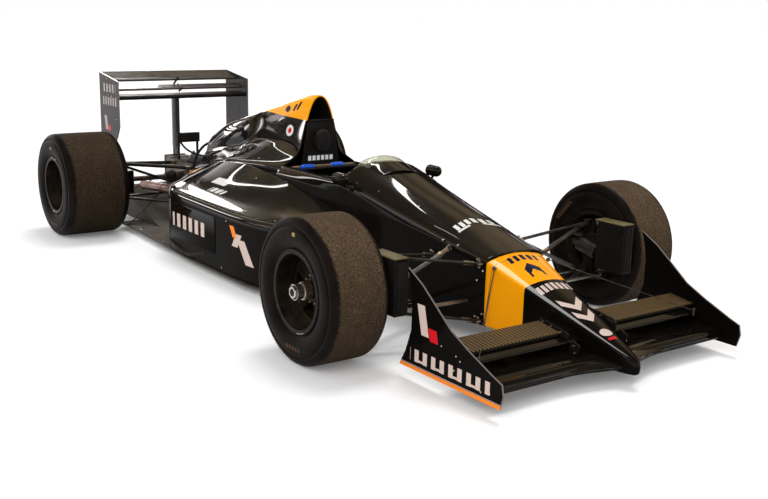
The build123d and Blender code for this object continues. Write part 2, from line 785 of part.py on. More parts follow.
def undertray():
    plan = [
        (-560, 250), (-760, 560), (-900, floor_half_width - 30), (-1150, floor_half_width),
        (-1800, floor_half_width), (-2640, 588), (-3010, 580), (-3010, diffuser_half_width),
    ]
    ahead = [(x, y, floor_z) for x, y in plan]
    behind = [(x, -y, floor_z) for x, y in reversed(plan)]
    tray = extrude(outline_face(ahead + behind), floor_thickness, dir=(0, 0, 1))
    tray -= block(diffuser_start, diffuser_end, -diffuser_half_width, diffuser_half_width, 0, 100)
    tray -= hull([ring(row[0], tub_half(row, -0.5)) for row in tub_table])
    high = floor_z + diffuser_rise
    ramp = [
        (diffuser_start + 1, floor_z), (diffuser_end, high),
        (diffuser_end, high + floor_thickness), (diffuser_start + 1, floor_z + floor_thickness),
    ]
    face = outline_face([(x, 0, z) for x, z in ramp])
    tray += extrude(face, diffuser_half_width + 1, dir=(0, 1, 0), both=True)
    fence = [
        (diffuser_start, floor_z), (diffuser_end, floor_z), (diffuser_end, high + 10),
        (diffuser_start, floor_z + floor_thickness),
    ]
    for y in (-diffuser_half_width, -150, 150, diffuser_half_width):
        tray += extrude(outline_face([(x, y, z) for x, z in fence]), 3, dir=(0, 1, 0), both=True)
    return tray


jack_z = 336.0
jack_radius = 14.0
jack_length = 44.0


def engine():
    low = floor_z + floor_thickness + piece_gap
    return block(tub_rear - piece_gap, engine_rear, -engine_half_width, engine_half_width, low, engine_top)


def gearbox_hull(grow):
    sections = [
        (engine_rear - piece_gap, 170, 60),
        (engine_rear - 220, gearbox_half_width, 110),
        (rear_axle - 160, gearbox_half_width, 178),
        (gearbox_rear, 70, 262),
    ]
    top = gearbox_top + grow
    return hull(
        [
            ring(x, [(0, low - grow), (w + grow, low - grow), (w + grow, top), (0, top)])
            for x, w, low in sections
        ]
    )


def gearbox():
    """Gearbox case with output flanges and the rear jacking pin on its tail."""
    body = gearbox_hull(0)
    for s in (-1, 1):
        y = s * (gearbox_half_width + 10)
        body += Pos(rear_axle, y, rear_axle_z) * Rot(90, 0, 0) * Cylinder(48, 20)
    pin_middle = gearbox_rear - jack_length / 2 + 1
    body += Pos(pin_middle, 0, jack_z) * Rot(0, 90, 0) * Cylinder(jack_radius, jack_length + 2)
    return body


exhaust_radius = 31.0
exhaust_wall = 3.0
port_z = 300.0
# Centres of each pipe's bends and its tail, on the left.
exhaust_route = [(engine_rear + 40, 236, port_z), (-2690, 232, 262), (-3190, 330, 246)]


def exhausts():
    pipes = []
    for s in (-1, 1):
        port = (engine_rear + 40, s * (engine_half_width + piece_gap), port_z)
        route = [port] + [(x, s * y, z) for x, y, z in exhaust_route]
        pipe = rod(route[0], route[1], exhaust_radius)
        for start, end in zip(route[1:], route[2:]):
            pipe += ball_at(start, exhaust_radius) + rod(start, end, exhaust_radius)
        bore_start = Vector(*route[-1]) + (Vector(*route[-2]) - Vector(*route[-1])) * 0.3
        bore_end = Vector(*route[-1]) + (Vector(*route[-1]) - Vector(*route[-2])) * 0.01
        pipe -= rod(tuple(bore_start), tuple(bore_end), exhaust_radius - exhaust_wall)
        pipes.append(pipe)
    return pipes


# Rear wing elements. Columns: leading x, leading z, trailing x, trailing z, thickness.
rear_x = rear_axle - rear_wing_reach
rear_elements = [
    (rear_x + 325, 842, rear_x + 155, 858, 26),
    (rear_x + 255, 893, rear_x + 120, 915, 16),
    (rear_x + 175, 950, rear_x + 4, rear_wing_height - 3, 18),
]


def rear_plane(row):
    inner = rear_wing_half_span - rear_plate_thickness / 2 - plate_gap
    return wing(*row, -inner, inner)


def rear_plate(side):
    edge = [
        (rear_x, rear_wing_height), (rear_x + 340, 958), (rear_x + 340, 652), (rear_x + 296, 580),
        (rear_x + 220, 500), (rear_x + 40, 500), (rear_x, 560),
    ]
    face = outline_face([(x, 0, z) for x, z in edge])
    plate = extrude(face, rear_plate_thickness / 2, dir=(0, 1, 0), both=True)
    return Pos(0, side * rear_wing_half_span, 0) * plate


def wing_post():
    post = block(rear_x + 128, rear_x + 200, -11, 11, gearbox_top + 0.3, 842)
    room = wing(*rear_elements[0], -40, 40)
    return (post - Pos(0, 0, -0.3) * room).solids().sort_by(Axis.Z)[0]


def rear_box():
    body = block(-3185, -3150, -84, 84, 530, 594)
    for y in (-72, 72):
        body += block(-3175, -3160, y - 6, y + 6, gearbox_top + 0.3, 532)
    return body


# ---------------------------------------------------------------- steering
def steering_rack():
    """Rack bar with a track rod at each end, ending in a ball above the steering arm."""
    bar = rod((rack_x, -150, track_rod_z), (rack_x, 150, track_rod_z), rack_radius)
    for s in (-1, 1):
        bar += rod((rack_x, s * 140, track_rod_z), (steering_arm, s * kingpin_y, track_rod_z), 8)
        bar += ball_at((steering_arm, s * kingpin_y, track_rod_z), rod_end_radius)
    return bar


def steering_wheel():
    plane = column_plane()
    grip = plane * Torus(120, 13)
    hub = extrude(plane * Circle(34), 24, both=True)
    spoke = extrude(plane * Rectangle(232, 30), 4, both=True)
    low = extrude(plane * Pos(0, -60, 0) * Rectangle(30, 116), 4, both=True)
    column = extrude(plane * Circle(column_radius), 400)
    return grip + hub + spoke + low + column


# ---------------------------------------------------------------- write every node
def build():
    sides = {"left": 1, "right": -1}
    keep("tub", tub())
    keep("cowl", cowl())
    keep("nose_cone", nose())
    keep("front_wing_main", *front_main())
    keep("front_wing_flaps", *front_flaps())
    keep("engine_cover", engine_cover())
    keep("headrest", headrest())
    keep("seat", seat())
    keep("windscreen", windscreen())
    keep("mirrors", *mirrors())
    keep("floor", undertray())
    keep("radiators", *[radiator(side) for side in sides.values()])
    keep("engine", engine())
    keep("gearbox", gearbox())
    keep("exhausts", *exhausts())
    keep("rear_wing_main", rear_plane(rear_elements[0]))
    keep("rear_wing_flaps", *[rear_plane(row) for row in rear_elements[1:]])
    keep("rear_wing_post", wing_post())
    keep("rear_cooler", rear_box())
    keep("steering_rack", steering_rack())
    keep("steering_wheel", steering_wheel())
    front_tyre = tyre(front_tyre_diameter, front_tyre_width)
    rear_tyre = tyre(rear_tyre_diameter, rear_tyre_width)
    for name, side in sides.items():
        keep(f"front_plate_{name}", front_plate(side))
        keep(f"side_pod_{name}", side_pod(side))
        keep(f"rear_plate_{name}", rear_plate(side))
        keep(f"front_suspension_{name}", front_suspension(side))
        keep(f"rear_suspension_{name}", rear_suspension(side))
        keep(f"front_upright_{name}", knuckle(side))
        keep(f"rear_upright_{name}", rear_upright(side))
        keep(f"driveshaft_{name}", driveshaft(side))
        keep(f"front_tyre_{name}", Pos(0, side * front_track / 2, front_axle_z) * front_tyre)
        keep(f"rear_tyre_{name}", Pos(rear_axle, side * rear_track / 2, rear_axle_z) * rear_tyre)
        keep(f"front_wheel_{name}", front_wheel(side))
        keep(f"rear_wheel_{name}", rear_wheel(side))


build()
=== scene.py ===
import json
import math

import bpy
from mathutils import Matrix, Vector


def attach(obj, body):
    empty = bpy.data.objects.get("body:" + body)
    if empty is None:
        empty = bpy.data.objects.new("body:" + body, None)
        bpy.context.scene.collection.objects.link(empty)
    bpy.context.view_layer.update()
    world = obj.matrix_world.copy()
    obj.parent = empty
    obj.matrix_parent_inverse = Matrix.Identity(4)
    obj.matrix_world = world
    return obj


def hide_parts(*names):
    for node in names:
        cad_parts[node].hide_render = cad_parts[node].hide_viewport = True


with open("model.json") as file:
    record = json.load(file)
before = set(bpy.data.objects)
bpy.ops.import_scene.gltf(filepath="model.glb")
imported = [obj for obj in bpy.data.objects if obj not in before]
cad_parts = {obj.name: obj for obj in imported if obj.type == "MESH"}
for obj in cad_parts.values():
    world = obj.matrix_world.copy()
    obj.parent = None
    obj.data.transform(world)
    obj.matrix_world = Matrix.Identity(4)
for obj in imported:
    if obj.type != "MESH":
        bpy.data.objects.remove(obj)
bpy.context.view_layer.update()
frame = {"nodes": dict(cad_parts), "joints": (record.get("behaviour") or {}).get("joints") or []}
nodes = frame["nodes"]
bpy.ops.object.select_all(action="DESELECT")

# Stations are in metres from the front axle line, forward of it being positive.
axleX = next(j["pos_m"][0] for j in frame["joints"] if j["name"] == "steer_left")
rearAxleX = next(j["pos_m"][0] for j in frame["joints"] if j["name"] == "rear_wheel_spin_left")
# the car's left is on +y
sides = {"left": 1, "right": -1}


def fromAxle(x, y, z):
    return Vector((axleX + x, y, z))


# ---- camera

cameraSetup = {
    "x": 3.5859, "y": -3.1508, "z": 1.4696, "yaw": 2.5155, "pitch": -0.2271, "roll": 0.022,
    "focalPixels": 1037.78, "frameWidth": 768, "sensor": 36, "clip": 200,
}


def addCamera(setup):
    forward = Vector((
        math.cos(setup["pitch"]) * math.cos(setup["yaw"]),
        math.cos(setup["pitch"]) * math.sin(setup["yaw"]),
        math.sin(setup["pitch"]),
    ))
    right = forward.cross(Vector((0, 0, 1))).normalized()
    up = right.cross(forward)
    cosRoll, sinRoll = math.cos(setup["roll"]), math.sin(setup["roll"])
    rolledRight = right * cosRoll + up * sinRoll
    rolledUp = up * cosRoll - right * sinRoll
    data = bpy.data.cameras.new("camera")
    camera = bpy.data.objects.new("camera", data)
    bpy.context.scene.collection.objects.link(camera)
    data.sensor_fit = "HORIZONTAL"
    data.sensor_width = setup["sensor"]
    data.lens = setup["focalPixels"] / setup["frameWidth"] * setup["sensor"]
    data.clip_end = setup["clip"]
    turn = Matrix((rolledRight, rolledUp, -forward)).transposed().to_4x4()
    camera.matrix_world = Matrix.Translation(fromAxle(setup["x"], setup["y"], setup["z"])) @ turn
    bpy.context.scene.camera = camera


addCamera(cameraSetup)
bpy.context.scene.view_settings.view_transform = "Standard"

# ---- shader helpers


def newMaterial(name):
    material = bpy.data.materials.new(name)
    material.use_nodes = True
    tree = material.node_tree
    return material, tree, tree.nodes["Principled BSDF"]


def feed(tree, socket, value):
    # a constant is set on the socket, and an output of another node is linked to it
    if isinstance(value, bpy.types.NodeSocket):
        tree.links.new(value, socket)
    elif socket.type == "RGBA":
        socket.default_value = (*value, 1) if len(value) == 3 else value
    else:
        socket.default_value = value


def fill(tree, node, **values):
    # feeds the node's named inputs, whose spaces are written as underscores
    for label, value in values.items():
        feed(tree, node.inputs[label.replace("_", " ")], value)
    return node


def addMath(tree, operation, first, second=None, clamp=False):
    node = tree.nodes.new("ShaderNodeMath")
    node.operation = operation
    node.use_clamp = clamp
    feed(tree, node.inputs[0], first)
    if second is not None:
        feed(tree, node.inputs[1], second)
    return node.outputs[0]


def addMix(tree, factor, first, second):
    node = tree.nodes.new("ShaderNodeMix")
    node.data_type = "RGBA"
    for index, value in ((0, factor), (6, first), (7, second)):
        feed(tree, node.inputs[index], value)
    return node.outputs[2]


def addRange(tree, value, low, high, toLow=0.0, toHigh=1.0):
    # a straight ramp from one value to another, level beyond them
    node = tree.nodes.new("ShaderNodeMapRange")
    fill(tree, node, Value=value, From_Min=low, From_Max=high, To_Min=toLow, To_Max=toHigh)
    return node.outputs["Result"]


def addNoise(tree, point, scale, detail, roughness=0.5):
    node = tree.nodes.new("ShaderNodeTexNoise")
    return fill(tree, node, Vector=point, Scale=scale, Detail=detail, Roughness=roughness).outputs["Fac"]


def addBump(tree, height, strength, distance):
    node = tree.nodes.new("ShaderNodeBump")
    return fill(tree, node, Height=height, Strength=strength, Distance=distance).outputs["Normal"]


def addSplit(tree, vector):
    node = tree.nodes.new("ShaderNodeSeparateXYZ")
    feed(tree, node.inputs[0], vector)
    return node.outputs


def objectPoint(tree):
    return tree.nodes.new("ShaderNodeTexCoord").outputs["Object"]


def surfaceFacing(tree):
    return addSplit(tree, tree.nodes.new("ShaderNodeNewGeometry").outputs["Normal"])


# ---- floor and light

studio = {
    "sky": 0.62, "sun": 1.15, "sunAngle": 22.0, "sunFrom": (-0.20, 0.26, 1.0),
    "fill": 1.30, "fillAngle": 50.0, "fillFrom": (0.50, -0.80, 0.60),
    "floorSize": 240, "floorDrop": 0.0005, "floorTone": (0.9, 0.9, 0.9), "floorRough": 0.9, "floorGlow": 0.10,
    # what gloss sees above the white: a hall with cluttered walls and a dim ceiling; the rises are heights
    "wallRise": (0.025, 0.045), "wallDark": (0.012, 0.010, 0.010), "wallLight": (1.90, 1.68, 1.72),
    "wallPatches": {"scale": 6.5, "low": 0.53, "high": 0.57},
    "ceilingRise": (0.34, 0.46), "ceiling": (0.50, 0.38, 0.23), "ceilingDark": (0.10, 0.080, 0.055),
    "ceilingPatches": {"scale": 1.7, "low": 0.44, "high": 0.52},
    "roofRise": (0.60, 0.74), "roof": (0.120, 0.092, 0.062), "patchDetail": 5,
}


def seenDirectly(tree):
    # 1 where the eye, a gloss or a glass looks, and 0 for the light on matt surfaces
    path = tree.nodes.new("ShaderNodeLightPath").outputs
    seen = addMath(tree, "MAXIMUM", path["Is Camera Ray"], path["Is Glossy Ray"])
    return addMath(tree, "MAXIMUM", seen, path["Is Transmission Ray"])


def addWorld(setup):
    # white to the eye, gloss and glass, dimmer to the diffuse surfaces, and a dim hall above in the gloss
    world = bpy.data.worlds.new("studio")
    bpy.context.scene.world = world
    world.use_nodes = True
    tree = world.node_tree
    height = addSplit(tree, objectPoint(tree))["Z"]

    def patches(scale, low, high):
        return addRange(tree, addNoise(tree, objectPoint(tree), scale, setup["patchDetail"]), low, high)

    wall = addMix(tree, patches(**setup["wallPatches"]), setup["wallDark"], setup["wallLight"])
    ceiling = addMix(tree, patches(**setup["ceilingPatches"]), setup["ceilingDark"], setup["ceiling"])
    ceiling = addMix(tree, addRange(tree, height, *setup["roofRise"]), ceiling, setup["roof"])
    hall = addMix(tree, addRange(tree, height, *setup["ceilingRise"]), wall, ceiling)
    glossy = tree.nodes.new("ShaderNodeLightPath").outputs["Is Glossy Ray"]
    dimmed = addMath(tree, "MULTIPLY", addRange(tree, height, *setup["wallRise"]), glossy)
    strength = addRange(tree, seenDirectly(tree), 0.0, 1.0, setup["sky"])
    fill(tree, tree.nodes["Background"], Color=addMix(tree, dimmed, (1, 1, 1), hall), Strength=strength)


addWorld(studio)


def addFloor(setup):
    bpy.ops.mesh.primitive_plane_add(size=setup["floorSize"], location=(0, 0, -setup["floorDrop"]))
    floor = bpy.context.object
    floor.name = "studioFloor"
    material, tree, shader = newMaterial("studioFloor")
    fill(tree, shader, Base_Color=setup["floorTone"], Roughness=setup["floorRough"], Specular_IOR_Level=0.0)
    # a little of its own light to the eye brings the lit floor to the backdrop's white
    glow = addMath(tree, "MULTIPLY", seenDirectly(tree), setup["floorGlow"])
    fill(tree, shader, Emission_Color=(1, 1, 1), Emission_Strength=glow)
    floor.data.materials.append(material)
    floor.select_set(False)


addFloor(studio)


def addSun(name, energy, angle, source, inGloss=True):
    data = bpy.data.lights.new(name, "SUN")
    data.energy = energy
    data.angle = math.radians(angle)
    light = bpy.data.objects.new(name, data)
    bpy.context.scene.collection.objects.link(light)
    light.rotation_euler = Vector(source).to_track_quat("Z", "Y").to_euler()
    light.visible_glossy = inGloss


addSun("softSun", studio["sun"], studio["sunAngle"], studio["sunFrom"])
addSun("sideFill", studio["fill"], studio["fillAngle"], studio["fillFrom"], inGloss=False)

# lamps of the hall that only gloss sees: each spans two directions (turn, height in degrees) from a station
lampAway, lampColour = 9.0, (1.0, 0.98, 0.94)
hallLamps = {
    "humpLamp": {"at": (-0.40, -0.12, 0.60), "from": (140, 41), "to": (156, 57), "width": 0.12, "glow": 15},
    "coverLamp": {"at": (-2.19, -0.135, 0.64), "from": (-162, 7), "to": (176, 14), "width": 0.7, "glow": 8},
    "shoulderLamp": {
        "at": (-1.50, -0.29, 0.56), "from": (-179, 24), "to": (174, 44), "width": 0.10, "glow": 12,
    },
    "podLamp": {"at": (-1.95, -0.60, 0.41), "from": (158, 11), "to": (162, 25), "width": 0.80, "glow": 9},
    "rimLamp": {"at": (-1.50, -0.634, 0.38), "from": (-158, 11), "to": (-152, 23), "width": 0.9, "glow": 7},
    "edgeLamp": {"at": (-0.10, -0.17, 0.48), "from": (165, 63), "to": (-168, 61), "width": 0.06, "glow": 11},
    "noseLamp": {"at": (0.55, -0.06, 0.28), "from": (-125, 52), "to": (-160, 64), "width": 0.035, "glow": 12},
    "frontLamp": {"at": (0.80, -0.30, 0.12), "from": (10, 26), "to": (66, 26), "width": 0.06, "glow": 12},
}


def addHallLamp(name, look):
    ends = []
    for turn, height in (look["from"], look["to"]):
        turn, height = math.radians(turn), math.radians(height)
        flat = math.cos(height)
        ends.append(Vector((flat * math.cos(turn), flat * math.sin(turn), math.sin(height))) * lampAway)
    along = ends[1] - ends[0]
    backward = ((ends[0] + ends[1]) / 2).normalized()
    along -= backward * along.dot(backward)
    data = bpy.data.lights.new(name, "AREA")
    data.shape = "RECTANGLE"
    data.size, data.size_y = along.length, look["width"]
    data.energy = look["glow"] * math.pi * data.size * data.size_y
    data.color = lampColour
    light = bpy.data.objects.new(name, data)
    bpy.context.scene.collection.objects.link(light)
    along.normalize()
    turned = Matrix((along, backward.cross(along), backward)).transposed().to_4x4()
    light.matrix_world = Matrix.Translation(fromAxle(*look["at"]) + (ends[0] + ends[1]) / 2) @ turned
    light.visible_camera = False
    light.visible_diffuse = False


for name, look in hallLamps.items():
    addHallLamp(name, look)
print("camera, floor and light")

# ---- shader groups shared by the finishes


def newGroup(name, inputs, outputs):
    # one number makes a float input, three make a vector and four a colour
    group = bpy.data.node_groups.new(name, "ShaderNodeTree")
    for label, value in inputs.items():
        kind = "Float" if isinstance(value, float) else "Vector" if len(value) == 3 else "Color"
        socket = group.interface.new_socket(name=label, in_out="INPUT", socket_type=f"NodeSocket{kind}")
        socket.default_value = value
    for label, kind in outputs.items():
        group.interface.new_socket(name=label, in_out="OUTPUT", socket_type=f"NodeSocket{kind}")
    return group, group.nodes.new("NodeGroupInput").outputs, group.nodes.new("NodeGroupOutput")


def useGroup(tree, group, **values):
    node = tree.nodes.new("ShaderNodeGroup")
    node.node_tree = group
    return fill(tree, node, **values).outputs


def makeGrainGroup():
    inputs = {"Scale": 400.0, "Strength": 0.1, "Height": 0.001}
    group, given, end = newGroup("surfaceGrain", inputs, {"Normal": "Vector"})
    noise = addNoise(group, objectPoint(group), given["Scale"], 4)
    fill(group, end, Normal=addBump(group, noise, given["Strength"], given["Height"]))
    return group


def makeBlotchGroup():
    # stains with ragged edges, as one mask
    inputs = {"Scale": 6.0, "Low": 0.4, "High": 0.65, "Stretch": (1, 1, 1)}
    group, given, end = newGroup("blotches", inputs, {"Mask": "Float"})
    stretched = group.nodes.new("ShaderNodeVectorMath")
    stretched.operation = "MULTIPLY"
    feed(group, stretched.inputs[0], objectPoint(group))
    feed(group, stretched.inputs[1], given["Stretch"])
    noise = addNoise(group, stretched.outputs[0], given["Scale"], 6, 0.62)
    fill(group, end, Mask=addRange(group, noise, given["Low"], given["High"]))
    return group


def makeDustGroup():
    # pale dust that lies on what faces up; on the black paints it is also a painted brown sheen on the tops
    inputs = {"Colour": (0, 0, 0, 1), "Dust Colour": (0.35, 0.3, 0.24, 1), "Amount": 0.2, "Scale": 9.0}
    group, given, end = newGroup("dust", inputs, {"Colour": "Color", "Mask": "Float"})
    upward = addMath(group, "MULTIPLY", surfaceFacing(group)["Z"], 1.0, clamp=True)
    lying = addMath(group, "MULTIPLY", upward, useGroup(group, blotchGroup, Scale=given["Scale"])["Mask"])
    amount = addMath(group, "MULTIPLY", lying, given["Amount"], clamp=True)
    fill(group, end, Colour=addMix(group, amount, given["Colour"], given["Dust Colour"]), Mask=amount)
    return group


def makeWeaveGroup():
    # carbon cloth: two crossing sets of tows, each lit its own way
    inputs = {"Tow Width": 0.004, "Dark": (0.02, 0.016, 0.012, 1), "Light": (0.12, 0.09, 0.06, 1)}
    group, given, end = newGroup("carbonWeave", inputs, {"Colour": "Color"})
    place = addSplit(group, objectPoint(group))
    along = addMath(group, "DIVIDE", place["X"], given["Tow Width"])
    across = addMath(group, "DIVIDE", place["Y"], given["Tow Width"])
    cell = addMath(group, "ADD", addMath(group, "FLOOR", along), addMath(group, "FLOOR", across))
    checker = addMath(group, "PINGPONG", cell, 1.0)
    warp = addMath(group, "MULTIPLY", addMath(group, "PINGPONG", along, 0.5), checker)
    weft = addMath(
        group, "MULTIPLY", addMath(group, "PINGPONG", across, 0.5), addMath(group, "SUBTRACT", 1.0, checker),
    )
    tone = addMath(group, "MULTIPLY", addMath(group, "ADD", warp, weft), 1.7, clamp=True)
    fill(group, end, Colour=addMix(group, tone, given["Dark"], given["Light"]))
    return group


def makeMarkGroup():
    # a painted mark, the same on both sides: a box (round 0) or an ellipse (round 1), leaned back as it
    # rises, swept along the car as it goes outwards, and cut into stripes where a pitch is given
    inputs = {
        "Centre": (0, 0, 0), "Half Size": (0.1, 10, 0.1), "Lean": 0.0, "Sweep": 0.0, "Round": 0.0,
        "Pitch X": 0.0, "Pitch Y": 0.0, "Duty": 1.0,
    }
    group, given, end = newGroup("paintMark", inputs, {"Mask": "Float"})
    place, centre = addSplit(group, objectPoint(group)), addSplit(group, given["Centre"])
    dx = addMath(group, "SUBTRACT", place["X"], centre["X"])
    dy = addMath(group, "SUBTRACT", addMath(group, "ABSOLUTE", place["Y"]), centre["Y"])
    dz = addMath(group, "SUBTRACT", place["Z"], centre["Z"])
    dx = addMath(group, "SUBTRACT", dx, addMath(group, "MULTIPLY", dz, given["Lean"]))
    dx = addMath(group, "SUBTRACT", dx, addMath(group, "MULTIPLY", dy, given["Sweep"]))
    half = addSplit(group, given["Half Size"])
    shares = [
        addMath(group, "ABSOLUTE", addMath(group, "DIVIDE", value, half[axis]))
        for value, axis in ((dx, "X"), (dy, "Y"), (dz, "Z"))
    ]
    boxed = addMath(group, "MAXIMUM", addMath(group, "MAXIMUM", shares[0], shares[1]), shares[2])
    squares = [addMath(group, "POWER", share, 2.0) for share in shares]
    rounded = addMath(
        group, "SQRT", addMath(group, "ADD", addMath(group, "ADD", squares[0], squares[1]), squares[2]),
    )
    shape = group.nodes.new("ShaderNodeMix")
    shape.data_type = "FLOAT"
    for index, value in ((0, given["Round"]), (2, boxed), (3, rounded)):
        feed(group, shape.inputs[index], value)
    mask = addMath(group, "LESS_THAN", shape.outputs[0], 1.0)
    for value, pitch in ((dx, "Pitch X"), (place["Y"], "Pitch Y")):
        step = addMath(group, "FRACT", addMath(group, "DIVIDE", value, given[pitch]))
        stripe = addMath(group, "LESS_THAN", step, given["Duty"])
        unstriped = addMath(group, "LESS_THAN", given[pitch], 0.0001)
        mask = addMath(group, "MULTIPLY", mask, addMath(group, "MAXIMUM", stripe, unstriped))
    fill(group, end, Mask=mask)
    return group


grainGroup = makeGrainGroup()
blotchGroup = makeBlotchGroup()
dustGroup = makeDustGroup()
weaveGroup = makeWeaveGroup()
markGroup = makeMarkGroup()


def blotches(tree, scale, low, high, stretch=(1, 1, 1)):
    return useGroup(tree, blotchGroup, Scale=scale, Low=low, High=high, Stretch=stretch)["Mask"]


print("shader groups")

# ---- finishes

# the brightest white is the marks' white with painted light added, for white marks that lie in shade
paints = {
    "yellow": (0.97, 0.36, 0.004), "orange": (0.90, 0.25, 0.03), "pale": (0.62, 0.49, 0.43),
    "white": (0.78, 0.76, 0.72), "red": (0.62, 0.012, 0.02), "navy": (0.006, 0.010, 0.035),
    "black": (0.006, 0.005, 0.004), "seam": (0.001, 0.001, 0.001), "dusk": (0.42, 0.35, 0.34),
    "bright": (0.97, 0.97, 0.95), "gold": (0.34, 0.25, 0.10), "umber": (0.075, 0.038, 0.022),
}


def mark(colour, centre, halfSize, dull=0.0, **shape):
    # a painted mark, its centre given as a station: it shows on both sides and may dull the lacquer
    return {"colour": colour, "centre": centre, "dull": dull, "shape": {"Half_Size": halfSize, **shape}}


def paintMarks(tree, colour, marks, origin):
    # lays the marks on the colour in turn, and tells how much of the polish they leave
    polish = 1.0
    for one in marks:
        mask = useGroup(tree, markGroup, Centre=origin + Vector(one["centre"]), **one["shape"])["Mask"]
        colour = addMix(tree, mask, colour, paints[one["colour"]])
        if one["dull"]:
            polish = addMath(tree, "SUBTRACT", 1.0, addMath(tree, "MULTIPLY", mask, one["dull"]))
    return colour, polish


# what a finish has where it says nothing else
plainLook = {
    "stainScale": 5.0, "stretch": (1, 1, 1), "rough": 0.3, "roughStain": 0.05, "metallic": 0.0,
    "specular": 0.5,
    "grain": 0.1, "grainScale": 500.0, "grainHeight": 0.0006,
    "dust": 0.05, "dustColour": (0.35, 0.3, 0.24), "dustScale": 9.0, "marks": (),
}
# the lacquer is polished on what faces up and dull down the sides
polishRise, polishRough = (0.06, 0.26), 0.025


def makeFinish(name, given):
    # one finish: base colour with stains, grain, dust and a list of painted marks
    look = {**plainLook, **given}
    material, tree, shader = newMaterial(name)
    stains = blotches(tree, look["stainScale"], 0.4, 0.7, look["stretch"])
    colour = addMix(tree, stains, look["colour"], look["stain"])
    facing = surfaceFacing(tree)
    if "edge" in look:
        # painted highlight: a plate's cut edge is painted paler than its broad faces
        edge = addMath(tree, "LESS_THAN", addMath(tree, "ABSOLUTE", facing["Y"]), 0.6)
        colour = addMix(tree, edge, colour, look["edge"])
    colour, polish = paintMarks(tree, colour, look["marks"], fromAxle(0, 0, 0))
    dusty = useGroup(
        tree, dustGroup, Colour=colour, Dust_Colour=look["dustColour"], Amount=look["dust"],
        Scale=look["dustScale"],
    )
    rough = addMath(tree, "ADD", addMath(tree, "MULTIPLY", stains, look["roughStain"]), look["rough"])
    grain = useGroup(
        tree, grainGroup, Scale=look["grainScale"], Strength=look["grain"], Height=look["grainHeight"],
    )
    fill(
        tree, shader, Base_Color=dusty["Colour"], Normal=grain["Normal"], Metallic=look["metallic"],
        Roughness=addMath(tree, "ADD", rough, dusty["Mask"], clamp=True), Specular_IOR_Level=look["specular"],
    )
    if "coat" in look:
        weight = addRange(tree, facing["Z"], *polishRise, *look["coat"])
        fill(tree, shader, Coat_Weight=addMath(tree, "MULTIPLY", weight, polish), Coat_Roughness=polishRough)
    return material


noseMarks = [
    mark("yellow", (0.3375, 0, 0.25), (0.1035, 1, 1)),
    mark("seam", (0.252, 0, 0.22), (0.0011, 1, 0.18), Lean=0.11),
    mark("navy", (0.272, 0, 0.40), (0.019, 0.092, 0.05), Sweep=0.12, Pitch_Y=0.038, Duty=0.62),
    mark("navy", (0.345, 0, 0.37), (0.030, 0.044, 0.06), Sweep=0.8),
    mark("yellow", (0.372, 0, 0.37), (0.014, 0.030, 0.06), Sweep=0.8),
    mark("pale", (0.482, 0, 0.32), (0.022, 0.100, 0.05), Sweep=0.10, Pitch_Y=0.030, Duty=0.66),
    mark("pale", (0.640, 0, 0.26), (0.019, 0.062, 0.06), Sweep=-0.9),
    mark("pale", (0.715, 0, 0.24), (0.019, 0.050, 0.06), Sweep=-0.9),
    mark("pale", (0.805, 0, 0.20), (0.022, 0.032, 0.06), Round=1.0),
    mark("red", (0.842, 0, 0.18), (0.007, 0.024, 0.06)),
]
coverMarks = [
    mark("yellow", (-1.74, 0, 0.957), (0.36, 0.5, 0.105), dull=0.85),
    mark("black", (-1.555, 0, 0.922), (0.013, 0.5, 0.024), Lean=0.5),
    mark("black", (-1.600, 0, 0.908), (0.013, 0.5, 0.020), Lean=0.5),
    mark("black", (-1.690, 0, 0.893), (0.034, 0.5, 0.019), Round=1.0),
    mark("white", (-1.600, 0, 0.778), (0.046, 0.5, 0.032), Round=1.0),
    mark("red", (-1.600, 0, 0.778), (0.022, 0.5, 0.016), Round=1.0),
    mark("seam", (-1.858, 0.2, 0.60), (0.0022, 0.12, 0.062), Sweep=1.18),
    mark("seam", (-1.925, 0, 0.78), (0.0022, 0.2, 0.10), Lean=-0.55),
]
podMarks = [
    mark("yellow", (-2.33, 0.350, 0.45), (0.080, 0.042, 0.06), Round=1.0),
    mark("white", (-1.80, 0.43, 0.48), (0.085, 0.022, 0.06), Sweep=-0.6),
    mark("white", (-1.73, 0.495, 0.46), (0.085, 0.018, 0.06), Sweep=-0.6, Pitch_X=0.06, Duty=0.75),
    mark("dusk", (-1.60, 0.585, 0.43), (0.070, 0.010, 0.06), Pitch_X=0.035, Duty=0.6),
    mark("seam", (-1.715, 0.41, 0.45), (0.0018, 0.13, 0.08), Sweep=0.20),
    mark("seam", (-1.30, 0.5915, 0.40), (0.42, 0.0016, 0.02)),
    mark("pale", (-1.140, 0.64, 0.205), (0.038, 0.03, 0.062), Lean=-0.7),
    mark("pale", (-1.225, 0.64, 0.258), (0.030, 0.03, 0.036), Lean=0.6),
    mark("orange", (-1.262, 0.64, 0.300), (0.022, 0.03, 0.030), Lean=-0.6),
    mark("pale", (-1.80, 0.64, 0.245), (0.215, 0.03, 0.040), Pitch_X=0.078, Duty=0.56),
]
chassisMarks = [
    mark("white", (-0.075, 0, 0.50), (0.021, 0.125, 0.06), Sweep=0.30, Pitch_Y=0.042, Duty=0.6),
    mark("white", (-0.020, 0.085, 0.49), (0.006, 0.045, 0.06), Sweep=0.30),
    mark("seam", (0.060, 0, 0.45), (0.0012, 0.5, 0.06), Sweep=-0.25),
    mark("seam", (-0.520, 0.23, 0.45), (0.0012, 0.06, 0.18), Lean=0.35),
]
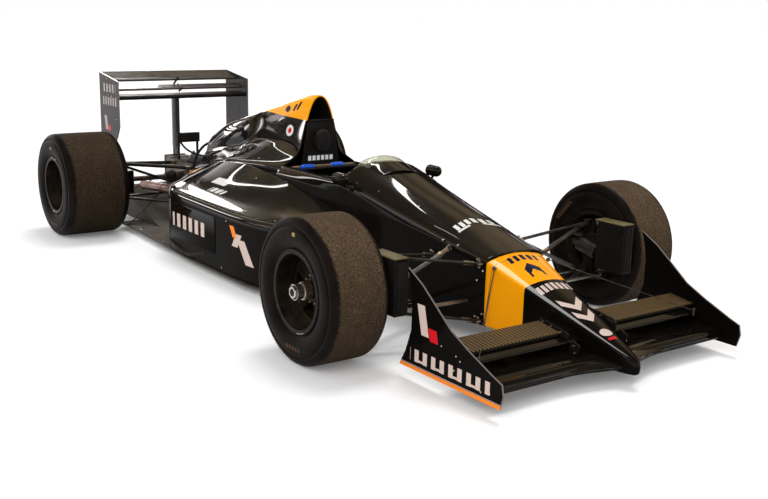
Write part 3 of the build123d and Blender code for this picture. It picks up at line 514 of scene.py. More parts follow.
frontPlateMarks = [
    mark("orange", (0.63, 0.704, 0.055), (0.4, 0.003, 0.0095)),
    mark("dusk", (0.63, 0.704, 0.0675), (0.4, 0.003, 0.0016)),
    mark("pale", (0.645, 0.704, 0.112), (0.245, 0.003, 0.026), Pitch_X=0.054, Duty=0.5),
    mark("pale", (0.645, 0.704, 0.093), (0.245, 0.003, 0.005), Pitch_X=0.108, Duty=0.66),
    mark("pale", (0.478, 0.704, 0.270), (0.024, 0.003, 0.062), Lean=-0.25),
    mark("red", (0.545, 0.704, 0.222), (0.026, 0.003, 0.026), Lean=-0.25),
]
rearPlateMarks = [
    mark("dusk", (-3.345, 0.494, 0.905), (0.110, 0.003, 0.028), Pitch_X=0.052, Duty=0.5),
    mark("dusk", (-3.335, 0.494, 0.815), (0.130, 0.003, 0.028), Pitch_X=0.044, Duty=0.5),
    mark("dusk", (-3.420, 0.494, 0.665), (0.022, 0.003, 0.048), Lean=-0.2),
    mark("red", (-3.365, 0.494, 0.630), (0.020, 0.003, 0.020), Lean=-0.2),
]
# painted light: the name strip is a brighter white than the other white marks, to offset the shade on this
# forward-facing panel
headrestMarks = [
    mark("bright", (-1.40, 0, 0.640), (0.05, 0.086, 0.0135), Pitch_Y=0.0287, Duty=0.70),
]

finishes = {
    # the brown on the up-facing tops of the black paints is real dust and a painted brown sheen of the tops
    "blackPaint": {
        "colour": (0.004, 0.0032, 0.0026), "stain": (0.007, 0.0055, 0.004), "stainScale": 1.6, "rough": 0.12,
        "roughStain": 0.08, "specular": 0.015, "coat": (0.02, 0.90), "grain": 0.012, "grainScale": 90.0,
        "dust": 0.06, "dustColour": (0.16, 0.12, 0.07), "dustScale": 1.1,
    },
    "frontPaint": {
        "colour": (0.0032, 0.0026, 0.0022), "stain": (0.0055, 0.0044, 0.0034), "stainScale": 2.2,
        "rough": 0.12, "roughStain": 0.08, "specular": 0.015, "coat": (0.02, 0.55), "grain": 0.012,
        "grainScale": 90.0, "dust": 0.015, "dustColour": (0.16, 0.12, 0.07), "dustScale": 1.1,
    },
    "satinBlack": {
        "colour": (0.007, 0.006, 0.005), "stain": (0.016, 0.013, 0.011), "stainScale": 7.0, "rough": 0.42,
        "roughStain": 0.14, "specular": 0.08, "grain": 0.12, "grainScale": 700.0, "dust": 0.06,
    },
    "plainBlack": {
        "colour": (0.006, 0.005, 0.0045), "stain": (0.014, 0.011, 0.009), "stainScale": 6.0, "rough": 0.3,
        "roughStain": 0.14, "specular": 0.02, "grain": 0.06, "grainScale": 260.0, "dust": 0.04,
    },
    "wingSkin": {
        "colour": (0.020, 0.017, 0.016), "stain": (0.046, 0.038, 0.034), "stainScale": 4.0, "rough": 0.24,
        "roughStain": 0.18, "specular": 0.12, "coat": (0.05, 0.6), "grain": 0.05, "grainScale": 260.0,
        "stretch": (3.0, 0.5, 1.0), "dust": 0.15, "dustColour": (0.13, 0.10, 0.075),
    },
    "floorSkin": {
        "colour": (0.045, 0.038, 0.031), "stain": (0.10, 0.083, 0.066), "stainScale": 5.0, "rough": 0.5,
        "roughStain": 0.2, "specular": 0.3, "grain": 0.2, "grainScale": 240.0, "dust": 0.3,
        "dustColour": (0.21, 0.17, 0.13),
    },
    "gunmetal": {
        "colour": (0.055, 0.047, 0.040), "stain": (0.14, 0.11, 0.085), "stainScale": 30.0, "rough": 0.32,
        "roughStain": 0.2, "metallic": 0.7, "grain": 0.12, "grainScale": 420.0, "dust": 0.12,
    },
    "armPaint": {
        "colour": (0.009, 0.008, 0.007), "stain": (0.024, 0.019, 0.015), "stainScale": 16.0, "rough": 0.25,
        "roughStain": 0.15, "specular": 0.05, "coat": (0.03, 0.30), "grain": 0.05, "grainScale": 400.0,
        "dust": 0.10,
    },
    "bareMetal": {
        "colour": (0.42, 0.37, 0.31), "stain": (0.25, 0.21, 0.17), "stainScale": 22.0, "rough": 0.28,
        "roughStain": 0.18, "metallic": 0.95, "grain": 0.15, "grainScale": 520.0, "dust": 0.05,
    },
    "blueAnodised": {
        "colour": (0.015, 0.14, 0.90), "stain": (0.008, 0.08, 0.62), "stainScale": 60.0, "rough": 0.28,
        "roughStain": 0.1, "metallic": 0.3, "grain": 0.05, "grainScale": 500.0, "dust": 0.03,
    },
    "braid": {
        "colour": (0.30, 0.20, 0.13), "stain": (0.15, 0.10, 0.07), "stainScale": 90.0, "rough": 0.5,
        "roughStain": 0.2, "metallic": 0.5, "grain": 0.7, "grainScale": 420.0, "grainHeight": 0.002,
        "dust": 0.05,
    },
    "ductHose": {
        "colour": (0.040, 0.036, 0.033), "stain": (0.016, 0.015, 0.014), "stainScale": 30.0, "rough": 0.28,
        "roughStain": 0.2, "metallic": 0.5, "grain": 0.1, "grainScale": 300.0, "dust": 0.08,
    },
    # painted reflection: the duct lid's olive-brown colour stands for the warm sheen its top shows
    "oliveLid": {
        "colour": (0.150, 0.120, 0.045), "stain": (0.085, 0.070, 0.028), "stainScale": 12.0, "rough": 0.35,
        "roughStain": 0.15, "specular": 0.3, "grain": 0.08, "grainScale": 300.0, "dust": 0.1,
    },
    "springBlue": {
        "colour": (0.10, 0.11, 0.13), "stain": (0.05, 0.05, 0.06), "stainScale": 30.0, "rough": 0.35,
        "roughStain": 0.15, "metallic": 0.6, "grain": 0.1, "grainScale": 300.0, "dust": 0.1,
    },
    "tailRed": {
        "colour": (0.35, 0.008, 0.008), "stain": (0.25, 0.005, 0.005), "stainScale": 30.0, "rough": 0.2,
        "roughStain": 0.1, "specular": 0.5, "grain": 0.2, "grainScale": 260.0, "dust": 0.08,
    },
    "foam": {
        "colour": (0.011, 0.010, 0.010), "stain": (0.024, 0.021, 0.020), "stainScale": 14.0, "rough": 0.85,
        "roughStain": 0.1, "specular": 0.2, "grain": 0.5, "grainScale": 900.0, "dust": 0.08,
    },
    "mirrorFace": {
        "colour": (0.82, 0.83, 0.84), "stain": (0.74, 0.75, 0.76), "stainScale": 20.0, "rough": 0.03,
        "roughStain": 0.03, "metallic": 1.0, "grain": 0.0, "dust": 0.0,
    },
    "pushGrey": {
        "colour": (0.20, 0.185, 0.165), "stain": (0.10, 0.09, 0.08), "stainScale": 24.0, "rough": 0.35,
        "roughStain": 0.15, "metallic": 0.5, "grain": 0.08, "grainScale": 400.0, "dust": 0.1,
    },
    "nutSilver": {
        "colour": (0.62, 0.56, 0.50), "stain": (0.36, 0.30, 0.25), "stainScale": 60.0, "rough": 0.22,
        "roughStain": 0.2, "metallic": 0.95, "grain": 0.12, "grainScale": 500.0, "dust": 0.05,
    },
    "brassy": {
        "colour": (0.46, 0.36, 0.24), "stain": (0.22, 0.17, 0.12), "stainScale": 50.0, "rough": 0.3,
        "roughStain": 0.2, "metallic": 0.95, "grain": 0.15, "grainScale": 500.0, "dust": 0.05,
    },
    "rimPaint": {
        "colour": (0.007, 0.006, 0.005), "stain": (0.022, 0.015, 0.009), "stainScale": 9.0, "rough": 0.2,
        "roughStain": 0.12, "specular": 0.04, "coat": (0.04, 0.9), "grain": 0.03, "grainScale": 200.0,
        "dust": 0.12, "dustColour": (0.13, 0.09, 0.055),
    },
    "hotPipe": {
        "colour": (0.52, 0.34, 0.28), "stain": (0.28, 0.21, 0.20), "stainScale": 7.0,
        "stretch": (1.0, 2.0, 2.0), "rough": 0.3, "roughStain": 0.2, "metallic": 0.85, "grain": 0.1,
        "grainScale": 300.0, "dust": 0.05,
    },
    "castCase": {
        "colour": (0.075, 0.066, 0.058), "stain": (0.16, 0.13, 0.11), "stainScale": 12.0, "rough": 0.5,
        "roughStain": 0.15, "metallic": 0.5, "grain": 0.4, "grainScale": 300.0, "dust": 0.2,
    },
    "radiatorCore": {
        "colour": (0.05, 0.05, 0.05), "stain": (0.02, 0.02, 0.02), "rough": 0.5, "metallic": 0.6,
        "grain": 0.4, "grainScale": 160.0,
    },
}
markedFinishes = {
    "nosePaint": ("frontPaint", noseMarks), "coverPaint": ("blackPaint", coverMarks),
    "podPaint": ("blackPaint", podMarks), "chassisPaint": ("blackPaint", chassisMarks),
    "frontPlatePaint": ("frontPaint", frontPlateMarks), "rearPlateSkin": ("wingSkin", rearPlateMarks),
    "headrestSkin": ("satinBlack", headrestMarks),
}
# painted highlights: pale colours along the end plates' cut edges
plateEdgeHighlights = {"frontPlatePaint": (0.16, 0.14, 0.13), "rearPlateSkin": (0.22, 0.19, 0.17)}
for name, (base, marks) in markedFinishes.items():
    finishes[name] = {**finishes[base], "marks": marks}
for name, colour in plateEdgeHighlights.items():
    finishes[name]["edge"] = colour
materials = {name: makeFinish(name, look) for name, look in finishes.items()}


def makeScreenGlass(name):
    material, tree, shader = newMaterial(name)
    grain = useGroup(tree, grainGroup, Scale=60.0, Strength=0.02, Height=0.001)
    fill(
        tree, shader, Base_Color=(0.60, 0.62, 0.47), Roughness=0.03, IOR=1.45, Transmission_Weight=0.9,
        Normal=grain["Normal"],
    )
    return material


materials["screenClear"] = makeScreenGlass("screenClear")

# ---- tyre rubber and bare carbon

# painted light and shade: the front tyres' rubber is scaled brighter and the rear tyres' darker, for how the
# light falls on each axle
frontTyre = {
    "axle": "front", "middle": 0.880, "x": 0.0, "z": 0.3175, "radius": 0.3175, "half": 0.1448, "tread": 0.109,
    "bead": 0.1678, "flange": 0.1830, "inset": 0.022, "shade": 1.1,
}
rearTyre = {
    "axle": "rear", "middle": 0.835, "x": rearAxleX - axleX, "z": 0.3275, "radius": 0.3275, "half": 0.2048,
    "tread": 0.155, "bead": 0.1678, "flange": 0.1830, "inset": 0.022, "shade": 0.60,
}
# the darkest tone is painted shade for the tread's lower, down-facing part
treadTones = {
    "scuff": (0.050, 0.033, 0.020), "pale": (0.235, 0.155, 0.092), "pit": (0.022, 0.015, 0.010),
    "worn": (0.058, 0.039, 0.026), "under": (0.016, 0.012, 0.007),
}
sidewallTones = (0.0050, 0.0036, 0.0030), (0.0115, 0.0080, 0.0065)
# the marks' x is measured from the wheel's axle
tyreMarks = [
    mark("gold", (0.010, 1.010, 0.566), (0.011, 0.040, 0.008)),
    mark("umber", (0.000, 1.010, 0.078), (0.060, 0.040, 0.009), Pitch_X=0.024, Duty=0.6),
    mark("umber", (-0.190, 0.750, 0.470), (0.016, 0.030, 0.052), Lean=0.9, Pitch_X=0.017, Duty=0.62),
]


def makeTyreRubber(name, plan):
    # scuffed, grainy tread in brown-grey and smooth dark sidewalls, told apart by how far out they lie
    material, tree, shader = newMaterial(name)
    # painted light and shade: every tread tone is scaled by its axle's level
    tones = {part: [c * plan["shade"] for c in tone] for part, tone in treadTones.items()}
    outward = addMath(tree, "ABSOLUTE", addSplit(tree, objectPoint(tree))["Y"])
    outward = addMath(tree, "ABSOLUTE", addMath(tree, "SUBTRACT", outward, plan["middle"]))
    ragged = addMath(tree, "MULTIPLY", blotches(tree, 55.0, 0.3, 0.7), 0.012)
    wall = addRange(tree, addMath(tree, "ADD", outward, ragged), plan["tread"], plan["tread"] + 0.012)
    coarse, fine = blotches(tree, 170.0, 0.38, 0.62, (1, 0.8, 1)), blotches(tree, 420.0, 0.42, 0.58)
    broad = blotches(tree, 9.0, 0.35, 0.65, (1, 2.2, 1))
    tread = addMix(tree, coarse, tones["scuff"], tones["pale"])
    tread = addMix(tree, addMath(tree, "MULTIPLY", fine, 0.60), tread, tones["pit"])
    tread = addMix(tree, addMath(tree, "MULTIPLY", broad, 0.45), tread, tones["worn"])
    # painted shade: the tread is darkened towards its lower, down-facing part, where less light falls from
    # above
    under = addRange(tree, surfaceFacing(tree)["Z"], -0.75, 0.75, 0.62, 0.0)
    tread = addMix(tree, under, tread, tones["under"])
    sidewall = addMix(tree, blotches(tree, 7.0, 0.4, 0.7), *sidewallTones)
    sidewall, _ = paintMarks(tree, sidewall, tyreMarks, fromAxle(plan["x"], 0, 0))
    kept = addMath(tree, "SUBTRACT", 1.0, addMath(tree, "MULTIPLY", wall, 0.97))
    relief = addMath(tree, "MULTIPLY", addMath(tree, "SUBTRACT", coarse, fine), kept)
    fill(
        tree, shader, Base_Color=addMix(tree, wall, tread, sidewall),
        Normal=addBump(tree, relief, 0.9, 0.0015),
        Roughness=addMath(tree, "SUBTRACT", 0.80, addMath(tree, "MULTIPLY", wall, 0.34)),
        Specular_IOR_Level=0.04,
    )
    return material


for plan in (frontTyre, rearTyre):
    finish = f"{plan['axle']}Rubber"
    materials[finish] = makeTyreRubber(finish, plan)


def makeFlapWeave(name):
    # bare carbon cloth with its tows laid along the chord, so that it reads as fine stripes
    material, tree, shader = newMaterial(name)
    weave = useGroup(
        tree, weaveGroup, Tow_Width=0.0075, Dark=(0.080, 0.049, 0.020), Light=(0.30, 0.190, 0.085),
    )
    across = addSplit(tree, objectPoint(tree))["Y"]
    tows = addMath(tree, "PINGPONG", addMath(tree, "DIVIDE", across, 0.019), 0.5)
    stripe = addMath(tree, "MULTIPLY", addMath(tree, "SUBTRACT", tows, 0.17), 6.0, clamp=True)
    cloth = addMix(tree, stripe, (0.008, 0.005, 0.003), weave["Colour"])
    stains = addMath(tree, "MULTIPLY", blotches(tree, 6.0, 0.35, 0.65), 0.25)
    cloth = addMix(tree, stains, cloth, (0.060, 0.042, 0.026))
    # the rounded leading edge is lacquered black
    lacquered = addRange(tree, surfaceFacing(tree)["Z"], 0.86, 0.74)
    fill(
        tree, shader, Base_Color=addMix(tree, lacquered, cloth, (0.005, 0.004, 0.003)), Roughness=0.3,
        Normal=addBump(tree, tows, 0.4, 0.0004), Specular_IOR_Level=0.08,
    )
    return material


materials["flapWeave"] = makeFlapWeave("flapWeave")
print("finishes")

# ---- the CAD nodes' finishes

nodeFinish = {
    "tub": "satinBlack", "cowl": "blackPaint", "nose_cone": "blackPaint", "front_wing_main": "frontPaint",
    "front_wing_flaps": "flapWeave", "engine_cover": "blackPaint", "headrest": "headrestSkin",
    "seat": "satinBlack", "windscreen": "screenClear", "mirrors": "blackPaint", "floor": "floorSkin",
    "radiators": "radiatorCore", "engine": "castCase", "gearbox": "castCase", "exhausts": "hotPipe",
    "rear_wing_main": "plainBlack", "rear_wing_flaps": "wingSkin", "rear_wing_post": "wingSkin",
    "rear_cooler": "satinBlack",
    "steering_rack": "bareMetal", "steering_wheel": "satinBlack",
}
pairFinish = {
    "front_plate": "frontPlatePaint", "side_pod": "podPaint", "rear_plate": "rearPlateSkin",
    "front_suspension": "armPaint", "rear_suspension": "armPaint", "front_upright": "satinBlack",
    "rear_upright": "gunmetal", "driveshaft": "gunmetal", "front_tyre": "frontRubber",
    "rear_tyre": "rearRubber", "front_wheel": "rimPaint", "rear_wheel": "rimPaint",
}
for pair, finish in pairFinish.items():
    for side in sides:
        nodeFinish[f"{pair}_{side}"] = finish
for node, finish in nodeFinish.items():
    mesh = nodes[node].data
    mesh.materials.clear()
    mesh.materials.append(materials[finish])
print("nodes finished")

# ---- modelling helpers

# vertices closer than this, in metres, are one
mergeWithin = 0.00005


def clearSelection():
    bpy.ops.object.select_all(action="DESELECT")


def applyModifier(piece, kind, **values):
    modifier = piece.modifiers.new(kind.lower(), kind)
    for key, value in values.items():
        setattr(modifier, key, value)
    bpy.context.view_layer.objects.active = piece
    bpy.ops.object.modifier_apply(modifier=modifier.name)


def addSheet(name, stations):
    # a grid laid on stations: each row of points is one section of the body
    clearSelection()
    across, along = len(stations[0]), len(stations)
    bpy.ops.mesh.primitive_grid_add(x_subdivisions=across - 1, y_subdivisions=along - 1, size=1)
    sheet = bpy.context.object
    sheet.name = name
    for index, vertex in enumerate(sheet.data.vertices):
        vertex.co = stations[index // across][index % across]
    return sheet


def editWith(piece, kind, chosen, *steps):
    # opens edit mode with just the chosen edges or faces selected, and runs the steps
    clearSelection()
    piece.select_set(True)
    bpy.context.view_layer.objects.active = piece
    bpy.context.tool_settings.mesh_select_mode = (False, kind == "EDGE", kind == "FACE")
    mesh = piece.data
    mesh.vertices.foreach_set("select", [False] * len(mesh.vertices))
    mesh.edges.foreach_set("select", [False] * len(mesh.edges))
    mesh.polygons.foreach_set("select", [False] * len(mesh.polygons))
    for item in mesh.edges if kind == "EDGE" else mesh.polygons:
        if chosen(item):
            item.select = True
            for index in item.vertices:
                mesh.vertices[index].select = True
    bpy.ops.object.mode_set(mode="EDIT")
    for step in steps:
        step()
    bpy.ops.object.mode_set(mode="OBJECT")


def everyItem(item):
    return True


def creaseLines(piece, creases, lineOf):
    # creases the edges along lines of a grid: the lines' sharpness by number, and each vertex's line
    for line, sharpness in creases.items():
        editWith(
            piece, "EDGE",
            lambda edge: all(lineOf(index) == line for index in edge.vertices),
            lambda: bpy.ops.transform.edge_crease(value=sharpness),
        )


def outwardNormals(piece):
    editWith(
        piece, "FACE", everyItem,
        lambda: bpy.ops.mesh.remove_doubles(threshold=mergeWithin),
        lambda: bpy.ops.mesh.normals_make_consistent(inside=False),
    )


def smoothSkin(skin, wall=0, levels=3, mirrored=True, **solid):
    # makes a whole skin of a half one if asked, smooths it, and gives it its wall on the inside
    if mirrored:
        applyModifier(skin, "MIRROR", use_axis=(False, True, False), use_clip=True, merge_threshold=0.0005)
    outwardNormals(skin)
    applyModifier(skin, "SUBSURF", levels=levels, render_levels=levels)
    if not mirrored and skin.data.polygons[0].normal.z < 0:
        editWith(skin, "FACE", everyItem, lambda: bpy.ops.mesh.flip_normals())
    if wall:
        applyModifier(skin, "SOLIDIFY", thickness=wall, offset=-1, **solid)
    outwardNormals(skin)


def finishPiece(piece, finish, body="car", smoothAngle=None):
    if finish:
        piece.data.materials.clear()
        piece.data.materials.append(materials[finish])
    clearSelection()
    piece.select_set(True)
    bpy.context.view_layer.objects.active = piece
    if smoothAngle:
        bpy.ops.object.shade_smooth_by_angle(angle=math.radians(smoothAngle))
    else:
        bpy.ops.object.shade_smooth()
    piece.select_set(False)
    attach(piece, body)


# ---- chassis skin over the tub and cowl

chassis = {
    "grow": 0.006, "wall": 0.010, "openFrom": -0.816, "rimY": 0.2, "creases": {5: 0.2, 2: 0.3},
    # x, half width and z at the floor, at the crease, of the upper side, the hump's edge, beside the crown,
    # crown z
    "stations": [
        (0.236, 0.160, 0.084, 0.167, 0.390, 0.150, 0.404, 0.118, 0.410, 0.080, 0.413, 0.416),
        (0.200, 0.163, 0.081, 0.170, 0.396, 0.154, 0.412, 0.121, 0.419, 0.082, 0.423, 0.426),
        (-0.108, 0.190, 0.058, 0.200, 0.450, 0.184, 0.482, 0.145, 0.498, 0.100, 0.508, 0.516),
        (-0.451, 0.222, 0.034, 0.230, 0.491, 0.222, 0.540, 0.176, 0.574, 0.120, 0.592, 0.604),
        (-0.640, 0.236, 0.033, 0.243, 0.516, 0.246, 0.572, 0.202, 0.618, 0.132, 0.642, 0.656),
        (-0.790, 0.248, 0.032, 0.254, 0.537, 0.260, 0.594, 0.220, 0.652, 0.142, 0.682, 0.701),
        (-0.815, 0.250, 0.032, 0.256, 0.540, 0.262, 0.592, 0.228, 0.640, 0.146, 0.680, 0.703),
        (-0.840, 0.251, 0.032, 0.257, 0.541, 0.258, 0.588, 0.246, 0.600, 0.224, 0.606, 0.606),
        (-1.000, 0.256, 0.032, 0.263, 0.549, 0.254, 0.590, 0.240, 0.600, 0.222, 0.600, 0.600),
        (-1.177, 0.262, 0.032, 0.270, 0.557, 0.252, 0.591, 0.238, 0.600, 0.221, 0.600, 0.600),
        (-1.340, 0.262, 0.032, 0.274, 0.561, 0.252, 0.591, 0.238, 0.600, 0.221, 0.600, 0.600),
        (-1.430, 0.262, 0.032, 0.276, 0.562, 0.252, 0.591, 0.238, 0.600, 0.221, 0.600, 0.600),
    ],
}


def buildChassisSkin(plan):
    grow = plan["grow"]
    rows = []
    for x, lowW, lowZ, creaseW, creaseZ, sideW, sideZ, humpW, humpZ, topW, topZ, crown in plan["stations"]:
        half = [
            (lowW - 0.050, lowZ - grow * 0.6), (lowW - 0.010, lowZ + 0.002),
            (lowW + grow * 0.8, lowZ + 0.036),
            ((lowW + creaseW) / 2 + grow, (lowZ + creaseZ) / 2), (creaseW + grow, creaseZ - 0.014),
            (creaseW + grow - 0.002, creaseZ + 0.004), (sideW + grow * 0.9, sideZ + grow * 0.3),
            (humpW + grow * 0.7, humpZ + grow * 0.8), (topW + grow * 0.2, topZ + grow), (0, crown + grow),
        ]
        rows.append([fromAxle(x, y, z) for y, z in half])
    across = len(rows[0])
    skin = addSheet("chassisSkin", rows)
    creaseLines(skin, plan["creases"], lambda index: index % across)

    def overOpening(face):
        # behind the screen the strip from the rim to the centre line is open
        onCrown = [index % across == across - 1 for index in face.vertices]
        beyondRim = [skin.data.vertices[index].co.y > plan["rimY"] for index in face.vertices]
        behind = face.center.x < axleX + plan["openFrom"]
        return behind and any(onCrown) and all(a or b for a, b in zip(onCrown, beyondRim))

    editWith(skin, "FACE", overOpening, lambda: bpy.ops.mesh.delete(type="FACE"))
    smoothSkin(skin, plan["wall"])
    finishPiece(skin, "chassisPaint")
    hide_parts("cowl")


buildChassisSkin(chassis)
print("chassis skin")

# ---- nose

nose = {
    "grow": 0.002, "tip": (0.990, 0, 0.088), "creases": {6: 0.55, 3: 0.5}, "rowCreases": {1: 0.9},
    # the row tucked in behind the first: its width, and its height about a level
    "tuckWidth": 0.9, "tuckLevel": 0.24, "tuckHeight": 0.93,
    # x, half width, underside z, shoulder z, crown z
    "stations": [
        (0.2345, 0.167, 0.084, 0.390, 0.416), (0.300, 0.152, 0.079, 0.366, 0.391),
        (0.441, 0.124, 0.066, 0.314, 0.332), (0.700, 0.080, 0.056, 0.221, 0.233),
        (0.900, 0.041, 0.054, 0.149, 0.155),
        (0.975, 0.020, 0.057, 0.120, 0.124), (0.9885, 0.012, 0.062, 0.111, 0.116),
    ],
}


def buildNose(plan):
    grow = plan["grow"]
    rows = []
    for x, half, low, shoulder, crown in plan["stations"]:
        outline = [
            (0, low), (half * 0.6, low), (half * 0.92, low + 0.003), (half + grow, low + 0.022),
            (half + grow, (low + shoulder) / 2), (half + grow, shoulder - 0.016),
            (half + grow - 0.003, shoulder - 0.003),
            (half * 0.9, shoulder + (crown - shoulder) * 0.26),
            (half * 0.5, shoulder + (crown - shoulder) * 0.78),
            (0, crown + grow),
        ]
        rows.append([fromAxle(x, y, z) for y, z in outline])
    across, level = len(rows[0]), plan["tuckLevel"]
    tucked = [
        Vector((p.x, p.y * plan["tuckWidth"], level + (p.z - level) * plan["tuckHeight"])) for p in rows[0]
    ]
    rows = [tucked, *rows, [fromAxle(*plan["tip"])] * across]
    skin = addSheet("noseSkin", rows)
    creaseLines(skin, plan["creases"], lambda index: index % across)
    creaseLines(skin, plan["rowCreases"], lambda index: index // across)
    smoothSkin(skin)
    finishPiece(skin, "nosePaint")
    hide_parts("nose_cone")


buildNose(nose)
print("nose")

# ---- engine cover with the airbox, the ledge on its side and the hump over the engine

cover = {
    "grow": 0.0025, "wall": 0.008, "creases": {4: 0.35, 5: 0.3}, "rowCreases": {6: 0.5},
    # x, sill half width, lower edge z, shoulder z, then half width and z of deck, root, ledge, waist, flank,
    # brow, crown z
    "stations": [
        (-1.418, 0.250, 0.568, 0.594, 0.200, 0.628, 0.150, 0.660, 0.128, 0.700, 0.112, 0.770, 0.090, 0.850,
         0.055, 0.965, 1.003),
        (-1.500, 0.262, 0.568, 0.594, 0.205, 0.630, 0.150, 0.665, 0.118, 0.705, 0.098, 0.770, 0.080, 0.850,
         0.050, 0.962, 1.000),
        (-1.650, 0.274, 0.568, 0.590, 0.215, 0.628, 0.150, 0.672, 0.108, 0.708, 0.086, 0.765, 0.070, 0.840,
         0.044, 0.930, 0.966),
        (-1.850, 0.285, 0.560, 0.580, 0.220, 0.620, 0.146, 0.668, 0.104, 0.700, 0.076, 0.750, 0.060, 0.800,
         0.036, 0.868, 0.908),
        (-2.000, 0.286, 0.520, 0.570, 0.215, 0.607, 0.135, 0.650, 0.100, 0.688, 0.072, 0.735, 0.056, 0.775,
         0.034, 0.835, 0.868),
        (-2.040, 0.286, 0.508, 0.564, 0.212, 0.600, 0.133, 0.642, 0.106, 0.689, 0.086, 0.735, 0.070, 0.775,
         0.042, 0.833, 0.858),
        (-2.062, 0.285, 0.502, 0.560, 0.211, 0.596, 0.132, 0.638, 0.118, 0.689, 0.108, 0.735, 0.090, 0.777,
         0.050, 0.830, 0.853),
        (-2.120, 0.280, 0.492, 0.547, 0.208, 0.585, 0.128, 0.620, 0.122, 0.680, 0.114, 0.730, 0.094, 0.785,
         0.054, 0.822, 0.838),
        (-2.326, 0.262, 0.452, 0.506, 0.200, 0.548, 0.128, 0.590, 0.122, 0.640, 0.112, 0.690, 0.090, 0.735,
         0.052, 0.768, 0.782),
        (-2.500, 0.228, 0.410, 0.462, 0.180, 0.505, 0.122, 0.560, 0.114, 0.610, 0.100, 0.652, 0.078, 0.690,
         0.044, 0.718, 0.728),
        (-2.613, 0.205, 0.385, 0.436, 0.165, 0.480, 0.116, 0.535, 0.104, 0.580, 0.090, 0.612, 0.068, 0.640,
         0.038, 0.662, 0.690),
        (-2.640, 0.200, 0.382, 0.430, 0.162, 0.474, 0.114, 0.529, 0.102, 0.573, 0.088, 0.605, 0.066, 0.632,
         0.036, 0.654, 0.682),
    ],
}


def buildEngineCover(plan):
    grow = plan["grow"]
    rows = []
    for x, sill, low, shoulder, *pairs, crown in plan["stations"]:
        outline = [
            (sill + grow, low), (sill + grow, shoulder - 0.012), (sill - 0.004 + grow, shoulder + 0.004),
        ]
        outline += [(y + grow * 0.7, z + grow * 0.7) for y, z in zip(pairs[::2], pairs[1::2])]
        outline.append((0, crown + grow * 0.3))
        rows.append([fromAxle(x, y, z) for y, z in outline])
    across = len(rows[0])
    skin = addSheet("engineCoverSkin", rows)
    creaseLines(skin, plan["creases"], lambda index: index % across)
    creaseLines(skin, plan["rowCreases"], lambda index: index // across)
    # the inside of the wall takes the second finish
    skin.data.materials.append(materials["coverPaint"])
    skin.data.materials.append(materials["satinBlack"])
    smoothSkin(skin, plan["wall"], material_offset=1)
    finishPiece(skin, None)
    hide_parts("engine_cover")


buildEngineCover(cover)
print("engine cover")

# ---- side pods

pods = {
    "grow": 0.002, "wall": 0.008, "flank": (0.22, 0.11),
    # x, root half width and z, two points across the deck, outer half width, outer edge z, lower edge z
    "stations": [
        (-0.815, 0.2565, 0.448, 0.400, 0.424, 0.500, 0.414, 0.572, 0.398, 0.040),
        (-0.920, 0.2600, 0.472, 0.400, 0.436, 0.520, 0.418, 0.610, 0.398, 0.040),
        (-1.177, 0.2705, 0.516, 0.400, 0.460, 0.520, 0.420, 0.640, 0.394, 0.040),
        (-1.415, 0.2765, 0.552, 0.400, 0.480, 0.520, 0.420, 0.640, 0.395, 0.040),
        (-1.760, 0.2845, 0.580, 0.400, 0.496, 0.510, 0.420, 0.640, 0.402, 0.040),
        (-1.930, 0.2853, 0.566, 0.400, 0.490, 0.510, 0.423, 0.640, 0.405, 0.040),
        (-2.055, 0.2865, 0.556, 0.400, 0.484, 0.510, 0.426, 0.640, 0.408, 0.041),
        (-2.190, 0.2765, 0.528, 0.392, 0.472, 0.490, 0.430, 0.596, 0.414, 0.042),
        (-2.326, 0.2625, 0.500, 0.350, 0.462, 0.425, 0.432, 0.500, 0.408, 0.044),
        (-2.480, 0.2320, 0.462, 0.290, 0.438, 0.350, 0.416, 0.404, 0.390, 0.046),
        (-2.613, 0.2055, 0.430, 0.242, 0.420, 0.280, 0.402, 0.322, 0.372, 0.048),
        (-2.640, 0.2005, 0.424, 0.234, 0.415, 0.270, 0.398, 0.306, 0.368, 0.048),
    ],
}


def buildSidePod(plan, side):
    grow = plan["grow"]
    rows = []
    for x, rootW, rootZ, aW, aZ, bW, bZ, outW, outZ, low in plan["stations"]:
        out = outW + grow * 0.5
        outline = [
            (rootW + 0.001, rootZ + grow), ((rootW + aW) / 2, (rootZ + aZ) / 2 + grow), (aW, aZ + grow),
            (bW, bZ + grow), (out - 0.052, outZ + 0.009), (out - 0.018, outZ), (out - 0.002, outZ - 0.020),
            (out, outZ - 0.060), *[(out, height) for height in plan["flank"]],
            (out, low + 0.016), (out - 0.010, low + 0.001), (out - 0.040, low + 0.0005),
        ]
        rows.append([fromAxle(x, sides[side] * y, z) for y, z in outline])
    skin = addSheet(f"sidePodSkin_{side}", rows)
    smoothSkin(skin, plan["wall"], mirrored=False)
    finishPiece(skin, "podPaint")
    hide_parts(f"side_pod_{side}")


for side in sides:
    buildSidePod(pods, side)
print("side pods")

# ---- tyres


def turnProfile(name, profile, centre, steps):
    # a closed profile of (radius, y) points turned about a wheel's axis through the centre
    clearSelection()
    bpy.ops.mesh.primitive_circle_add(vertices=len(profile), radius=0.1, fill_type="NOTHING")
    piece = bpy.context.object
    piece.name = name
    for vertex, (radius, y) in zip(piece.data.vertices, profile):
        vertex.co = centre + Vector((0, y, radius))
    editWith(
        piece, "EDGE", everyItem,
        lambda: bpy.ops.mesh.spin(steps=steps, angle=math.tau, center=centre, axis=(0, 1, 0)),
    )
    outwardNormals(piece)
    return piece


# the tread's fall to its edge, then the round shoulder's depth, its place inside the sidewall and its steps
tyreShape = {"fall": 0.0012, "depth": 0.036, "inside": 0.006, "steps": 7, "turnSteps": 120}


